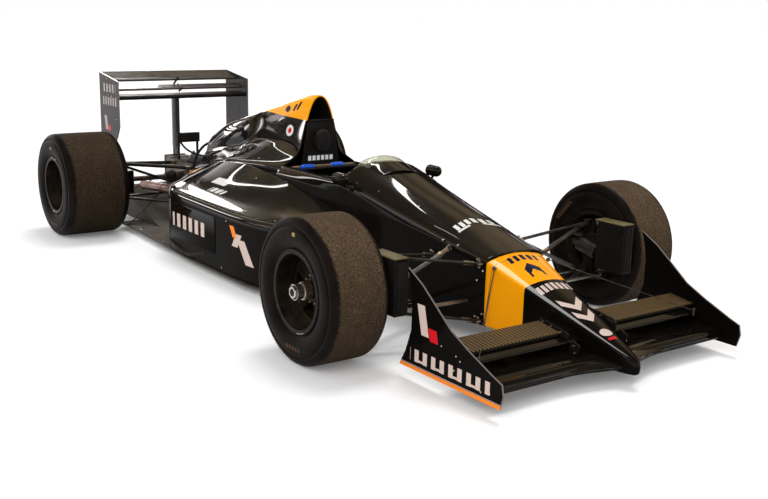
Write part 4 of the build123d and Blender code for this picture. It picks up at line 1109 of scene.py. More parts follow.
def tyreProfile(plan):
    # half of the section, from the crown round the shoulder and down the sidewall to the bead
    radius, half, tread = plan["radius"], plan["half"], plan["tread"]
    edge, reach = radius - tyreShape["fall"], half - tyreShape["inside"] - tread
    points = [(radius, 0), (radius - 0.0002, tread * 0.5), (edge, tread)]
    for step in range(1, tyreShape["steps"] + 1):
        angle = math.radians(90 / tyreShape["steps"] * step)
        points.append((edge - tyreShape["depth"] * (1 - math.cos(angle)), tread + reach * math.sin(angle)))
    low = edge - tyreShape["depth"]
    points += [
        (low - 0.002, half - 0.0090), (low - 0.005, half - 0.0090), (low - 0.007, half - 0.0052),
        (low - 0.018, half - 0.0015), ((low + plan["flange"]) / 2, half),
        (plan["flange"] + 0.028, half - 0.0050),
        (plan["flange"] + 0.012, half - 0.0120), (plan["flange"] + 0.008, half - 0.0165),
        (plan["flange"] + 0.0015, half - plan["inset"]), (plan["bead"], half - plan["inset"]),
    ]
    return points


def buildTyre(plan, side):
    half, axle = tyreProfile(plan), plan["axle"]
    profile = half + [(radius, -y) for radius, y in reversed(half[1:])]
    centre = fromAxle(plan["x"], sides[side] * plan["middle"], plan["z"])
    tyre = turnProfile(f"{axle}TyreSkin_{side}", profile, centre, tyreShape["turnSteps"])
    finishPiece(tyre, f"{axle}Rubber", f"{axle}_wheel_assembly_{side}")
    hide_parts(f"{axle}_tyre_{side}")


for plan in (frontTyre, rearTyre):
    for side in sides:
        buildTyre(plan, side)
print("tyres")

# ---- small parts: rods, balls, boxes, rings and pipes, joined into one piece of one finish


def addRod(start, end, radius, tip=None, sides=20):
    start, end = fromAxle(*start), fromAxle(*end)
    clearSelection()
    bpy.ops.mesh.primitive_cone_add(
        vertices=sides, radius1=radius, radius2=radius if tip is None else tip, depth=(end - start).length,
        location=(start + end) / 2, rotation=(end - start).to_track_quat("Z", "Y").to_euler(),
    )
    return bpy.context.object


def addBall(centre, radius):
    clearSelection()
    bpy.ops.mesh.primitive_uv_sphere_add(
        segments=20, ring_count=12, radius=radius, location=fromAxle(*centre),
    )
    return bpy.context.object


def addBox(centre, size, turn=(0, 0, 0), bevel=0.002):
    clearSelection()
    bpy.ops.mesh.primitive_cube_add(
        size=1, location=fromAxle(*centre), scale=size, rotation=[math.radians(angle) for angle in turn]
    )
    box = bpy.context.object
    bpy.ops.object.transform_apply(location=True, rotation=True, scale=True)
    if bevel:
        editWith(box, "EDGE", everyItem, lambda: bpy.ops.mesh.bevel(offset=bevel, segments=2))
    return box


def addRing(centre, axis, major, minor):
    clearSelection()
    bpy.ops.mesh.primitive_torus_add(
        location=fromAxle(*centre), rotation=Vector(axis).to_track_quat("Z", "Y").to_euler(),
        major_radius=major, minor_radius=minor, major_segments=40, minor_segments=10,
    )
    return bpy.context.object


def addPipe(points, radius):
    # a bent pipe that runs smoothly by way of the points
    clearSelection()
    bpy.ops.curve.primitive_nurbs_path_add(location=(0, 0, 0))
    path = bpy.context.object
    spline = path.data.splines[0]
    while len(spline.points) < len(points):
        spline.points.add(1)
    extra = len(spline.points) - len(points)
    chosen = list(points) + [points[-1]] * extra
    for place, point in zip(spline.points, chosen):
        place.co = (*fromAxle(*point), 1)
    spline.order_u = 3
    spline.resolution_u = 6
    path.data.bevel_depth = radius
    path.data.bevel_resolution = 4
    path.data.use_fill_caps = True
    bpy.ops.object.convert(target="MESH")
    return bpy.context.object


makers = {"rod": addRod, "ball": addBall, "box": addBox, "ring": addRing, "pipe": addPipe}


def otherSide(part):
    # the same part on the far side of the centre plane
    kind, *values = part
    flipped = []
    for index, value in enumerate(values):
        isPlace = isinstance(value, tuple) and not (kind == "box" and index > 0)
        if isinstance(value, list):
            flipped.append([(x, -y, z) for x, y, z in value])
        else:
            flipped.append((value[0], -value[1], value[2]) if isPlace else value)
    if kind == "box" and len(values) > 2:
        turn = values[2]
        flipped[2] = (-turn[0], turn[1], -turn[2])
    return (kind, *flipped)


def onSide(parts, side):
    # parts given for the left, as they lie on a side
    return parts if side == "left" else [otherSide(part) for part in parts]


def crossBolts(places, start, end, *sizes):
    # bolts that lie across the car, from one y to another, at places (x, z)
    return [("rod", (x, start, z), (x, end, z), *sizes) for x, z in places]


def toward(start, end, share):
    return tuple(a + (b - a) * share for a, b in zip(start, end))


def addParts(name, finish, parts, body="car", slot=None, bothSides=False, smoothAngle=35):
    if bothSides:
        parts = parts + [otherSide(part) for part in parts]
    made = [makers[kind](*values) for kind, *values in parts]
    clearSelection()
    for piece in made:
        piece.select_set(True)
    bpy.context.view_layer.objects.active = made[0]
    if len(made) > 1:
        bpy.ops.object.join()
    piece = bpy.context.object
    piece.name = name
    bpy.ops.object.transform_apply(location=True, rotation=True, scale=True)
    finishPiece(piece, finish, body, smoothAngle)


# ---- wheel fittings: rolled rim lip, hub bolts, socket nut and valve

wheelFittings = {
    "lipRadius": 0.1775, "lipRound": 0.0034, "dishRadius": 0.150, "dishRound": 0.004,
    "collarRadius": 0.043, "boltCircle": 0.060, "bolts": 10, "barrelRadius": 0.1375, "socketRadius": 0.0165,
    "front": {"plan": frontTyre, "lip": 0.1275, "face": 0.037, "nutFrom": 0.088, "nutTo": 0.1395},
    "rear": {"plan": rearTyre, "lip": 0.1875, "face": 0.027, "nutFrom": 0.066, "nutTo": 0.1115},
}


def buildWheelFittings(plan, axle, side):
    own = plan[axle]
    tyre, face, nutFrom, nutTo = own["plan"], own["face"], own["nutFrom"], own["nutTo"]

    def at(y, dx=0.0, dz=0.0):
        return (tyre["x"] + dx, sides[side] * (tyre["middle"] + y), tyre["z"] + dz)

    body = f"{axle}_wheel_assembly_{side}"
    across = (0, 1, 0)
    dark = [
        ("ring", at(own["lip"]), across, plan["lipRadius"], plan["lipRound"]),
        ("ring", at(face - 0.002), across, plan["dishRadius"], plan["dishRound"]),
        ("rod", at(face), at(face + 0.016), 0.056, 0.050, 40),
    ]
    addParts(f"{axle}RimTrim_{side}", "rimPaint", dark, body, "rim")
    silver = [
        ("rod", at(nutFrom + 0.008), at(nutTo - 0.004), 0.0335, 0.0335, 40),
        ("rod", at(nutTo - 0.006), at(nutTo + 0.004), 0.0305, 0.027, 6),
        ("ring", at(nutTo - 0.006), across, 0.0325, 0.0022),
        ("ring", at(nutFrom + 0.010), across, 0.0350, 0.0030),
    ]
    addParts(f"{axle}Nut_{side}", "nutSilver", silver, body)
    collar = plan["collarRadius"]
    bronze = [("rod", at(nutFrom - 0.022), at(nutFrom + 0.006), collar, collar - 0.004, 40)]
    for n in range(plan["bolts"]):
        angle = math.tau / plan["bolts"] * n
        dx, dz = math.cos(angle) * plan["boltCircle"], math.sin(angle) * plan["boltCircle"]
        bronze.append(("rod", at(face - 0.002, dx, dz), at(face + 0.009, dx, dz), 0.0055, 0.0048, 6))
    # the valve stands on the barrel's wall
    bronze.append(
        ("rod", at(face, plan["barrelRadius"], 0.070), at(face + 0.020, 0.124, 0.063), 0.0035, 0.0025)
    )
    addParts(f"{axle}HubBolts_{side}", "brassy", bronze, body)
    socket = plan["socketRadius"]
    recess = [("rod", at(nutTo + 0.003), at(nutTo + 0.0046), socket, socket, 24)]
    addParts(f"{axle}NutSocket_{side}", "satinBlack", recess, body)


for axle in ("front", "rear"):
    for side in sides:
        buildWheelFittings(wheelFittings, axle, side)
print("wheel fittings")

# ---- front wing fittings: root fairing, stays, flap brackets and adjuster bolts

wingRoot = {
    "wall": 0.0025, "back": 0.800, "top": 0.1135, "bottom": 0.0555,
    # |y| from the nose outwards, leading edge x, its z, half height there
    "stations": [
        (0.020, 0.942, 0.080, 0.012), (0.060, 0.926, 0.079, 0.013), (0.120, 0.906, 0.078, 0.014),
        (0.180, 0.890, 0.078, 0.014), (0.250, 0.879, 0.078, 0.014), (0.330, 0.875, 0.078, 0.014),
    ],
}


def buildWingRoot(plan, side):
    back, top, bottom = plan["back"], plan["top"], plan["bottom"]
    rows = []
    for y, lead, z, half in plan["stations"]:
        outline = [
            (back, top - 0.0015), (lead - 0.050, (z + half + top) / 2 + 0.003),
            (lead - 0.014, z + half + 0.004),
            (lead, z + 0.002), (lead - 0.006, z - half * 0.6), (lead - 0.040, bottom + 0.003),
            (back, bottom - 0.001),
        ]
        rows.append([fromAxle(x, sides[side] * y, height) for x, height in outline])
    skin = addSheet(f"wingRootSkin_{side}", rows)
    smoothSkin(skin, plan["wall"], levels=2, mirrored=False)
    finishPiece(skin, "blackPaint")


for side in sides:
    buildWingRoot(wingRoot, side)

# places on the left; every part shows on both sides
frontWingStays = [
    ("rod", (0.285, 0.163, 0.372), (0.262, 0.190, 0.120), 0.0022),
    ("rod", (0.285, 0.163, 0.372), (0.747, 0.640, 0.173), 0.0016),
    ("rod", (0.745, 0.640, 0.150), (0.747, 0.640, 0.180), 0.005), ("ball", (0.747, 0.640, 0.178), 0.0065),
    ("rod", (0.285, 0.158, 0.374), (0.285, 0.170, 0.371), 0.008), ("ball", (0.262, 0.190, 0.120), 0.006),
]
addParts("frontWingStays", "gunmetal", frontWingStays, bothSides=True, slot="steel")
flapBrackets = [
    ("box", (0.640, 0.150, 0.193), (0.150, 0.004, 0.036), (0, 8, 0), 0.0015),
    ("box", (0.700, 0.143, 0.170), (0.060, 0.010, 0.050), (0, 8, 0)),
    ("box", (0.640, 0.420, 0.176), (0.110, 0.003, 0.034), (0, 10, 0), 0.001),
    ("box", (0.768, 0.143, 0.135), (0.050, 0.008, 0.060), (0, 20, 0)),
]
addParts("flapBrackets", "satinBlack", flapBrackets, bothSides=True)
flapBolts = crossBolts(
    [(0.696, 0.190), (0.640, 0.201), (0.590, 0.208), (0.772, 0.150), (0.780, 0.122)], 0.140, 0.158, 0.0045,
)
flapBolts += crossBolts(
    [(0.840, 0.086), (0.760, 0.104), (0.680, 0.122), (0.715, 0.168), (0.690, 0.182), (0.600, 0.198)],
    0.7035, 0.7062, 0.0040,
)
addParts("flapBolts", "nutSilver", flapBolts, bothSides=True)
print("front wing fittings")

# ---- front suspension fittings: rod ends, sleeves, caps and brake cooling hoses

hubPoint = {
    "upper": (0.0, 0.699, 0.4395), "lower": (0.0, 0.699, 0.1955), "push": (-0.012, 0.650, 0.2075),
    "pushInner": (0.018, 0.204, 0.414),
}
pickups = {
    "upper": [(0.212, 0.188, 0.381), (-0.086, 0.214, 0.366)],
    "lower": [(0.212, 0.182, 0.118), (-0.190, 0.225, 0.118)],
}
rodEnds = []
for level, inner in pickups.items():
    for x, y, z in inner:
        start, end = (x, y, z), hubPoint[level]
        rodEnds += [
            ("rod", toward(start, end, 0.05), toward(start, end, 0.13), 0.0085, 0.0105),
            ("ring", start, (0, 0, 1), 0.0135, 0.0040), ("rod", (x, y, z - 0.018), (x, y, z + 0.018), 0.0055),
        ]
push, pushInner = hubPoint["push"], hubPoint["pushInner"]
rodEnds += [
    ("rod", toward(pushInner, push, 0.02), toward(pushInner, push, 0.10), 0.0125, 0.0110),
    ("ring", pushInner, (1, 0, 0), 0.0145, 0.0045),
    ("rod", toward(pushInner, push, 0.10), toward(pushInner, push, 0.13), 0.0150, 0.0150, 6),
    ("rod", toward(push, pushInner, 0.02), toward(push, pushInner, 0.08), 0.0110, 0.0125),
    ("rod", (0.000, 0.204, 0.414), (0.036, 0.204, 0.414), 0.0060),
]
for x, z in ((0.212, 0.381), (-0.086, 0.366), (0.212, 0.118), (-0.190, 0.118), (0.018, 0.414)):
    outer, inner = (0.212, 0.205) if x < 0 else (0.185, 0.170)
    rodEnds += crossBolts([(x - 0.020, z + 0.016)], outer, inner, 0.005)
addParts("frontRodEnds", "brassy", rodEnds, bothSides=True, slot="steel")
pushSleeve = [("rod", toward(push, pushInner, 0.08), toward(push, pushInner, 0.87), 0.0103, 0.0103)]
addParts("pushRodSleeves", "pushGrey", pushSleeve, bothSides=True, slot="steel")
chassisBolts = [
    ("rod", (x, y, z), (x, y + 0.010, z), 0.0045) for x, y, z in (
        (0.225, 0.168, 0.350), (0.190, 0.170, 0.300), (-0.060, 0.196, 0.340), (-0.120, 0.200, 0.330),
        (0.060, 0.181, 0.436), (-0.030, 0.196, 0.446), (0.225, 0.163, 0.150), (-0.300, 0.210, 0.120),
        (-0.650, 0.244, 0.400), (-0.560, 0.238, 0.300),
    )
]
addParts("chassisBolts", "nutSilver", chassisBolts, bothSides=True)


# what rides on the left knuckle and steers with it
hose = {"start": (0.030, 0.640, 0.345), "end": (0.118, 0.655, 0.318), "axis": (0.96, 0.16, -0.28), "ribs": 12}
hoseRibs = [
    ("ring", toward(hose["start"], hose["end"], n / (hose["ribs"] - 1)), hose["axis"], 0.031, 0.0046)
    for n in range(hose["ribs"])
]
knuckleFittings = {
    "brakeHose": ("ductHose", hoseRibs + [("rod", hose["start"], hose["end"], 0.031)], 60),
    # the lid's olive-brown is a painted reflection
    "ductLid": ("oliveLid", [
        ("box", (0.205, 0.682, 0.4815), (0.186, 0.074, 0.006), (0, 0, 0), 0.0025),
        ("box", (0.127, 0.682, 0.470), (0.008, 0.074, 0.024), (0, 0, 0), 0.0025),
    ], 35),
    "ductScreen": ("satinBlack", [
        ("box", (0.3005, 0.682, 0.358), (0.004, 0.050, 0.222), (0, 0, 0), 0.0),
        *[("rod", (0.3035, y, 0.250), (0.3035, y, 0.466), 0.0016, 0.0016, 8) for y in (0.665, 0.682, 0.699)],
    ], 35),
    "caliperCaps": ("gunmetal", [
        *crossBolts([(-0.114, 0.3175), (-0.082, 0.3175)], 0.744, 0.762, 0.016),
        ("box", (-0.100, 0.790, 0.352), (0.060, 0.070, 0.012), (0, 0, 0), 0.004),
    ], 35),
}
for side in sides:
    for name, (finish, parts, smoothAngle) in knuckleFittings.items():
        addParts(f"{name}_{side}", finish, onSide(parts, side), f"knuckle_{side}", smoothAngle=smoothAngle)
print("front suspension fittings")

# ---- cockpit: panels, dials, filler hose, wheel grip, head pad, seat cushions and mirrors

cockpitDark = [
    ("box", (-1.407, 0, 0.853), (0.016, 0.156, 0.010), (0, 0, 0), 0.003),
    ("rod", (-1.400, -0.079, 0.853), (-1.400, 0.079, 0.853), 0.0055),
    ("box", (-0.652, 0, 0.540), (0.012, 0.330, 0.090), (0, -14, 0), 0.006),
    ("box", (-0.676, 0, 0.560), (0.030, 0.120, 0.060), (0, -14, 0), 0.008),
    ("rod", (-1.330, -0.225, 0.590), (-1.330, 0.225, 0.590), 0.007),
]
addParts("cockpitPanels", "satinBlack", cockpitDark)
dialGlass = [("rod", (-0.664, y, 0.548), (-0.670, y, 0.5465), 0.020, 0.020, 32) for y in (-0.100, 0.100)]
addParts("dials", "nutSilver", dialGlass)
dialFaces = [("rod", (-0.669, y, 0.5468), (-0.6712, y, 0.5462), 0.017, 0.017, 32) for y in (-0.100, 0.100)]
addParts("dialFaces", "satinBlack", dialFaces)
hoseRun = [
    (-1.400, -0.232, 0.588), (-1.372, -0.195, 0.600), (-1.350, -0.140, 0.602), (-1.345, -0.040, 0.603),
    (-1.345, 0.060, 0.601),
    (-1.352, 0.150, 0.599), (-1.372, 0.200, 0.596), (-1.400, 0.232, 0.586),
]
addParts("fillerHose", "braid", [("pipe", hoseRun, 0.0085)], smoothAngle=60)
fittings = []
for y in (-0.125, 0.070):
    fittings += [
        ("rod", (-1.347, y - 0.030, 0.602), (-1.346, y + 0.030, 0.602), 0.0150, 0.0150, 8),
        ("rod", (-1.347, y - 0.042, 0.602), (-1.347, y - 0.030, 0.602), 0.0105, 0.0145),
        ("rod", (-1.346, y + 0.030, 0.602), (-1.346, y + 0.042, 0.602), 0.0145, 0.0105),
    ]
addParts("hoseFittings", "blueAnodised", fittings)
columnTilt = math.radians(20)
grip = [("ring", (-0.905, 0, 0.560), (-math.cos(columnTilt), 0, math.sin(columnTilt)), 0.120, 0.0142)]
addParts("wheelGrip", "foam", grip, "hand_wheel", smoothAngle=60)


def buildPad(name, centre, size, turn):
    # a crowned foam pad: a box with its edges rounded
    pad = addBox(centre, size, turn, 0.010)
    pad.name = name
    applyModifier(pad, "SUBSURF", levels=3, render_levels=3)
    outwardNormals(pad)
    finishPiece(pad, "foam")


headPad = {"centre": (-1.388, 0, 0.740), "size": (0.034, 0.084, 0.122), "corner": 0.034, "crown": 0.012}


def buildHeadPad(plan):
    # an upright foam pad with round corners and a soft rim, on the panel behind the driver
    pad = addBox(plan["centre"], plan["size"], (0, 0, 0), 0)
    pad.name = "headPad"

    def fore(edge):
        ends = [pad.data.vertices[i].co for i in edge.vertices]
        return abs(ends[0].x - ends[1].x) > plan["size"][0] * 0.5

    editWith(pad, "EDGE", fore, lambda: bpy.ops.mesh.bevel(offset=plan["corner"], segments=10))
    applyModifier(
        pad, "BEVEL", width=plan["crown"], segments=6, limit_method="ANGLE", angle_limit=math.radians(60),
    )
    outwardNormals(pad)
    finishPiece(pad, "foam", smoothAngle=40)


buildHeadPad(headPad)
buildPad("seatBackPad", (-1.330, 0, 0.330), (0.030, 0.300, 0.330), (0, -16, 0))
buildPad("seatBasePad", (-1.090, 0, 0.118), (0.300, 0.300, 0.030), (0, -4, 0))
mirrorGlass = [("rod", (-0.7795, 0.300, 0.632), (-0.7812, 0.300, 0.632), 0.0265, 0.0265, 40)]
addParts("mirrorGlass", "mirrorFace", mirrorGlass, bothSides=True)
mirrorRims = [
    ("ring", (-0.780, 0.300, 0.632), (1, 0, 0), 0.0278, 0.0024),
    ("rod", (-0.716, 0.262, 0.590), (-0.712, 0.250, 0.582), 0.012, 0.015),
]
addParts("mirrorRims", "blackPaint", mirrorRims, bothSides=True)
print("cockpit")

# ---- windscreen: a black foot that runs up the cowl and a clear lip along its top

screenLip = {
    "wall": 0.003, "clearFrom": 3,
    # x, half width and z at the side, of the shoulder, beside the crown, crown z
    "stations": [
        (-0.640, 0.121, 0.640, 0.113, 0.651, 0.061, 0.665, 0.669),
        (-0.700, 0.131, 0.650, 0.124, 0.666, 0.069, 0.684, 0.690),
        (-0.750, 0.139, 0.659, 0.132, 0.678, 0.076, 0.698, 0.706),
        (-0.775, 0.144, 0.664, 0.137, 0.684, 0.080, 0.706, 0.715),
        (-0.800, 0.148, 0.668, 0.141, 0.690, 0.084, 0.714, 0.724),
        (-0.816, 0.150, 0.671, 0.143, 0.694, 0.085, 0.718, 0.728),
    ],
}


def buildScreen(plan):
    rows = []
    for x, sideW, sideZ, kneeW, kneeZ, topW, topZ, crown in plan["stations"]:
        rows.append(
            [fromAxle(x, y, z) for y, z in ((sideW, sideZ), (kneeW, kneeZ), (topW, topZ), (0, crown))]
        )
    across = len(rows[0])
    screen = addSheet("screenSkin", rows)
    screen.data.materials.append(materials["screenClear"])
    screen.data.materials.append(materials["blackPaint"])
    for face in screen.data.polygons:
        face.material_index = 1 if min(face.vertices) // across < plan["clearFrom"] - 1 else 0
    smoothSkin(screen, plan["wall"])
    finishPiece(screen, None)
    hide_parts("windscreen")


buildScreen(screenLip)

# ---- side pod fittings: raised panel, kick-up lip, inlet lip and radiator fins

podPanel = {
    "x": -1.755, "y": 0.642, "z": 0.236, "length": 0.575, "height": 0.216, "skin": 0.0035, "round": 0.030,
}


def buildPodPanel(plan, side):
    centre = (plan["x"], sides[side] * plan["y"], plan["z"])
    panel = addBox(centre, (plan["length"], plan["skin"], plan["height"]), (0, 0, 0), 0)
    panel.name = f"podPanel_{side}"

    def crossways(edge):
        ends = [panel.data.vertices[i].co for i in edge.vertices]
        return abs(ends[0].y - ends[1].y) > plan["skin"] * 0.5

    editWith(panel, "EDGE", crossways, lambda: bpy.ops.mesh.bevel(offset=plan["round"], segments=8))
    applyModifier(
        panel, "BEVEL", width=0.0012, segments=2, limit_method="ANGLE", angle_limit=math.radians(50),
    )
    finishPiece(panel, "podPaint", smoothAngle=40)


for side in sides:
    buildPodPanel(podPanel, side)
kickLip = [
    (-1.600, 0.628, 0.118), (-1.680, 0.636, 0.100), (-1.760, 0.638, 0.074), (-1.860, 0.637, 0.066),
    (-1.950, 0.637, 0.082), (-2.030, 0.634, 0.098), (-2.100, 0.612, 0.100),
]
podLips = {"bothSides": True, "slot": "body_black", "smoothAngle": 60}
addParts("podKickLips", "satinBlack", [("pipe", kickLip, 0.017)], **podLips)
inletLip = [
    (-0.8165, 0.262, 0.446), (-0.8165, 0.330, 0.436), (-0.8165, 0.420, 0.421), (-0.8165, 0.500, 0.412),
    (-0.8165, 0.552, 0.396),
    (-0.8165, 0.567, 0.360), (-0.8165, 0.568, 0.220), (-0.8165, 0.568, 0.046),
]
addParts("podInletLips", "blackPaint", [("pipe", inletLip, 0.0055)], **podLips)
fins = [
    ("box", (-1.0285, 0.441, 0.052 + 0.0125 * n), (0.003, 0.300, 0.0016), (0, 0, 0), 0)
    for n in range(26)
]
fins += [
    ("box", (-1.0285, 0.300 + 0.0405 * n, 0.208), (0.0022, 0.003, 0.330), (0, 0, 0), 0)
    for n in range(8)
]
addParts("radiatorFins", "gunmetal", fins, bothSides=True)
print("side pod fittings")

# ---- rear: dampers, casing ribs, pipes, wing fittings, lamp, stays and shaft boots

damper = {
    "front": (-2.700, 0.062, 0.447), "rear": (-2.990, 0.062, 0.436), "coil": (0.24, 0.90),
    "seats": ((0.225, 0.245), (0.895, 0.915)), "seatRadius": 0.0305, "bodyRadius": 0.0230,
    "rodRadius": 0.0130,
    "wire": 0.0040, "radius": 0.0255, "turns": 13, "steps": 12,
}


def damperPoint(share):
    return toward(damper["front"], damper["rear"], share)


def springRun(plan):
    # the coil spring's wire, wound about the damper from seat to seat
    run, count = [], plan["turns"] * plan["steps"]
    start, end = plan["coil"]
    for n in range(count + 1):
        x, y, z = damperPoint(start + (end - start) * n / count)
        angle = math.tau * n / plan["steps"]
        run.append((x, y + math.cos(angle) * plan["radius"], z + math.sin(angle) * plan["radius"]))
    return run


dampers = [
    ("rod", damper["front"], damper["rear"], damper["rodRadius"]),
    ("rod", damper["front"], damperPoint(damper["coil"][0]), damper["bodyRadius"]),
    ("ball", damper["front"], 0.017), ("ball", damper["rear"], 0.015),
]
for start, end in damper["seats"]:
    dampers.append(
        ("rod", damperPoint(start), damperPoint(end), damper["seatRadius"], damper["seatRadius"], 32)
    )
addParts("rearDampers", "bareMetal", dampers, bothSides=True, smoothAngle=50)
coils = [("pipe", springRun(damper), damper["wire"])]
addParts("rearSprings", "springBlue", coils, bothSides=True, smoothAngle=60)
casing = [
    ("box", (x, 0, 0.285), (0.010, w, 0.262), (0, 0, 0), 0.002)
    for x, w in ((-2.640, 0.252), (-2.820, 0.246))
]
casing += [
    ("box", (x, 0, 0.330), (0.008, w, 0.172), (0, 0, 0), 0.002)
    for x, w in ((-3.110, 0.222), (-3.250, 0.190), (-3.390, 0.160))
]
casing += [
    *[("box", (-3.020, y, 0.424), (0.090, 0.030, 0.030), (0, 0, 0), 0.005) for y in (0.085, -0.085)],
    ("box", (-2.860, 0, 0.420), (0.300, 0.046, 0.018), (0, 0, 0), 0.004),
    ("rod", (-3.180, 0.050, 0.405), (-3.180, 0.050, 0.440), 0.022),
]
addParts("gearboxRibs", "castCase", casing, slot="cast")
caseBolts = []
for x, y in ((-2.640, 0.126), (-2.820, 0.123)):
    places = [(x, z) for z in (0.190, 0.240, 0.290, 0.340, 0.385)]
    caseBolts += crossBolts(places, y, y + 0.004, 0.0055, 0.0050, 6)
addParts("gearboxBolts", "nutSilver", caseBolts, bothSides=True)
pipes = [
    (
        "pipe",
        [
            (-2.560, 0.060, 0.560), (-2.650, 0.075, 0.540), (-2.720, 0.110, 0.480), (-2.780, 0.128, 0.400),
            (-2.860, 0.126, 0.330),
        ],
        0.0090,
    ),
    (
        "pipe",
        [
            (-2.590, -0.050, 0.600), (-2.680, -0.080, 0.590), (-2.750, -0.120, 0.520),
            (-2.800, -0.130, 0.430), (-2.900, -0.126, 0.300),
        ],
        0.0085,
    ),
    (
        "pipe",
        [
            (-2.600, -0.030, 0.560), (-2.700, 0.000, 0.520), (-2.800, 0.020, 0.470), (-3.000, 0.010, 0.450),
            (-3.170, -0.030, 0.480), (-3.166, -0.060, 0.540),
        ],
        0.0070,
    ),
    (
        "pipe",
        [
            (-2.620, 0.040, 0.500), (-2.760, 0.010, 0.480), (-2.900, -0.010, 0.448), (-3.060, 0.030, 0.442),
            (-3.180, 0.050, 0.450),
        ],
        0.0055,
    ),
]
addParts("rearHoses", "foam", pipes, smoothAngle=60)
hoseEnds = [
    ("rod", (-2.850, 0.126, 0.338), (-2.868, 0.126, 0.318), 0.0125, 0.0125, 6),
    ("rod", (-2.886, -0.126, 0.318), (-2.906, -0.126, 0.292), 0.0125, 0.0125, 6),
    ("rod", (-3.166, -0.060, 0.528), (-3.166, -0.060, 0.545), 0.0100, 0.0100, 6),
    ("rod", (-3.180, 0.050, 0.438), (-3.180, 0.050, 0.462), 0.0095, 0.0095, 6),
]
addParts("rearHoseEnds", "brassy", hoseEnds)
rearEnds = []
rearInner = {
    "upper": [(-2.835, 0.118, 0.396), (-3.130, 0.104, 0.396)],
    "lower": [(-2.700, 0.118, 0.168), (-3.140, 0.104, 0.190)],
}
rearOuter = {"upper": (-2.980, 0.6097, 0.4395), "lower": (-2.980, 0.6097, 0.2155)}
for level, inner in rearInner.items():
    outer = rearOuter[level]
    for point in inner:
        rearEnds += [
            ("rod", toward(point, outer, 0.03), toward(point, outer, 0.11), 0.0105, 0.0135),
            ("rod", toward(outer, point, 0.05), toward(outer, point, 0.12), 0.0105, 0.0135),
        ]
addParts("rearRodEnds", "brassy", rearEnds, bothSides=True, slot="steel")
wingFittings = [
    ("box", (-3.5215, 0, 1.0000), (0.003, 0.970, 0.0115), (0, 0, 0), 0),
    ("box", (-3.361, 0, 0.650), (0.078, 0.030, 0.360), (0, 0, 0), 0.006),
    ("box", (-3.361, 0, 0.835), (0.110, 0.060, 0.010), (0, 0, 0), 0.002),
]
addParts("rearWingFittings", "wingSkin", wingFittings, slot="wing_carbon")
wingHook = [
    ("box", (-3.345, 0, 0.945), (0.100, 0.004, 0.018), (0, -34, 0), 0.001),
    ("box", (-3.268, 0, 0.889), (0.070, 0.004, 0.016), (0, -24, 0), 0.001),
    ("rod", (-3.300, 0, 0.900), (-3.312, 0, 0.930), 0.004),
]
addParts("rearWingHook", "satinBlack", wingHook)
plateBolts = crossBolts([
    (-3.22, 0.846), (-3.30, 0.853), (-3.36, 0.857), (-3.29, 0.898), (-3.36, 0.908), (-3.39, 0.966),
    (-3.46, 0.986), (-3.23, 0.70), (-3.49, 0.55),
], 0.4935, 0.4965, 0.0042)
addParts("rearPlateBolts", "nutSilver", plateBolts, bothSides=True)
addParts(
    "rearLampFrame", "satinBlack", [("box", (-3.4225, 0, 0.3855), (0.012, 0.104, 0.044), (0, 0, 0), 0.003)],
)
addParts("rearLampGlass", "tailRed", [("box", (-3.4285, 0, 0.3855), (0.006, 0.092, 0.034), (0, 0, 0), 0.002)])
pipeRings = [
    ("ring", (-3.189, 0.3298, 0.2460), (-0.98, 0.19, -0.03), 0.0308, 0.0030),
    ("ring", (-2.700, 0.234, 0.2617), (1, -0.1, 0.0), 0.0320, 0.0028),
    ("ring", (-2.950, 0.282, 0.2537), (0.98, -0.19, 0.03), 0.0318, 0.0026),
]
addParts("exhaustTails", "hotPipe", pipeRings, bothSides=True, slot="exhaust", smoothAngle=60)
stays = [
    ("rod", (-2.887, 0.567, 0.040), (-3.150, 0.150, 0.262), 0.0042), ("ball", (-2.887, 0.567, 0.044), 0.0085),
    ("rod", (-3.300, 0.400, 0.190), (-3.300, 0.100, 0.300), 0.0040), ("ball", (-3.300, 0.400, 0.192), 0.008),
]
addParts("floorStays", "gunmetal", stays, bothSides=True, slot="steel")
trayPlaces = (
    (-1.00, 0.617), (-2.30, 0.585), (-2.50, 0.585), (-2.70, 0.560), (-2.90, 0.560), (-2.70, 0.450),
    (-2.95, 0.450), (-2.45, 0.42),
)
trayBolts = [("rod", (x, y, 0.0395), (x, y, 0.0425), 0.0055) for x, y in trayPlaces]
addParts("floorBolts", "nutSilver", trayBolts, bothSides=True)
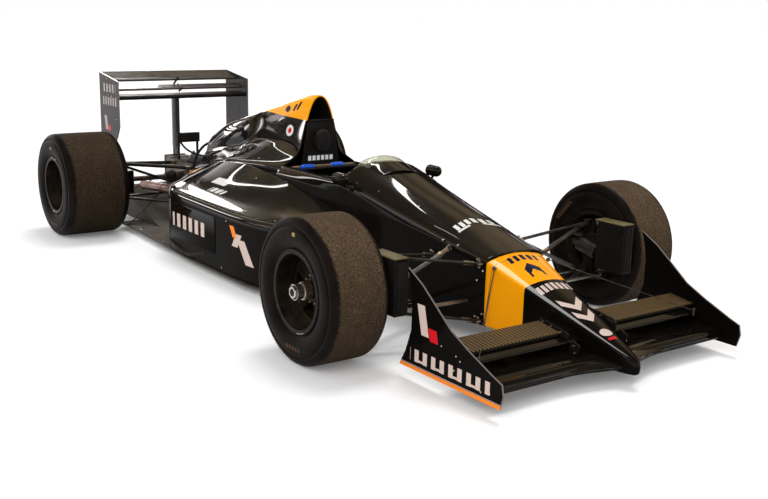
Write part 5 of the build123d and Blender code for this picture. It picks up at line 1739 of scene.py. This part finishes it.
for side, s in sides.items():
    boots = [
        ("ring", (rearTyre["x"], s * (root + step * n), rearTyre["z"]), (0, 1, 0), 0.037 - 0.0035 * n, 0.0050)
        for root, step in ((0.212, 0.010), (0.565, -0.010)) for n in range(5)
    ]
    addParts(f"shaftBoots_{side}", "foam", boots, f"rear_wheel_assembly_{side}", smoothAngle=60)
print("rear fittings")

# ---- panel fasteners, set on the skins where a straight line meets them


def dropOn(skin, places, away):
    # the points and normals where lines through the places, coming in from the side given, meet the skin
    found = []
    for place in places:
        direction = -Vector(away).normalized()
        hit, point, normal, _ = skin.ray_cast(fromAxle(*place) - direction * 2, direction)
        if hit:
            found.append((point - Vector((axleX, 0, 0)), normal))
    return found


fastener = {"radius": 0.0052, "sunk": 0.002, "proud": 0.0012}


def addFasteners(name, skinName, places, away):
    parts, radius = [], fastener["radius"]
    for point, normal in dropOn(bpy.data.objects[skinName], places, away):
        foot, head = point - normal * fastener["sunk"], point + normal * fastener["proud"]
        parts.append(("rod", tuple(foot), tuple(head), radius, radius * 0.8))
    addParts(name, "nutSilver", parts)


cowlPlaces = ((-0.05, 0.10), (-0.30, 0.14), (-0.55, 0.20), (-0.70, 0.23))
coverPlaces = ((-1.50, 0.225), (-1.70, 0.24), (-2.15, 0.22), (-2.40, 0.18), (-2.60, 0.14), (-1.93, 0.17))
for piece, skinName, places in (
    ("cowlFasteners", "chassisSkin", cowlPlaces), ("coverFasteners", "engineCoverSkin", coverPlaces),
):
    addFasteners(piece, skinName, [(x, s * y, 0) for x, y in places for s in (-1, 1)], (0, 0, 1))
deck = (
    (-0.95, 0.56), (-1.25, 0.57), (-1.50, 0.57), (-1.80, 0.58), (-2.05, 0.57), (-1.55, 0.34), (-2.2, 0.40),
)
flank = [(x, 0, z) for x, z in ((-0.92, 0.10), (-0.92, 0.32), (-1.40, 0.075), (-1.34, 0.345), (-1.95, 0.075))]
for side, s in sides.items():
    onDeck = [(x, s * y, 0) for x, y in deck]
    addFasteners(f"podDeckFasteners_{side}", f"sidePodSkin_{side}", onDeck, (0, 0, 1))
    addFasteners(f"podSideFasteners_{side}", f"sidePodSkin_{side}", flank, (0, s, 0))
print("fasteners")
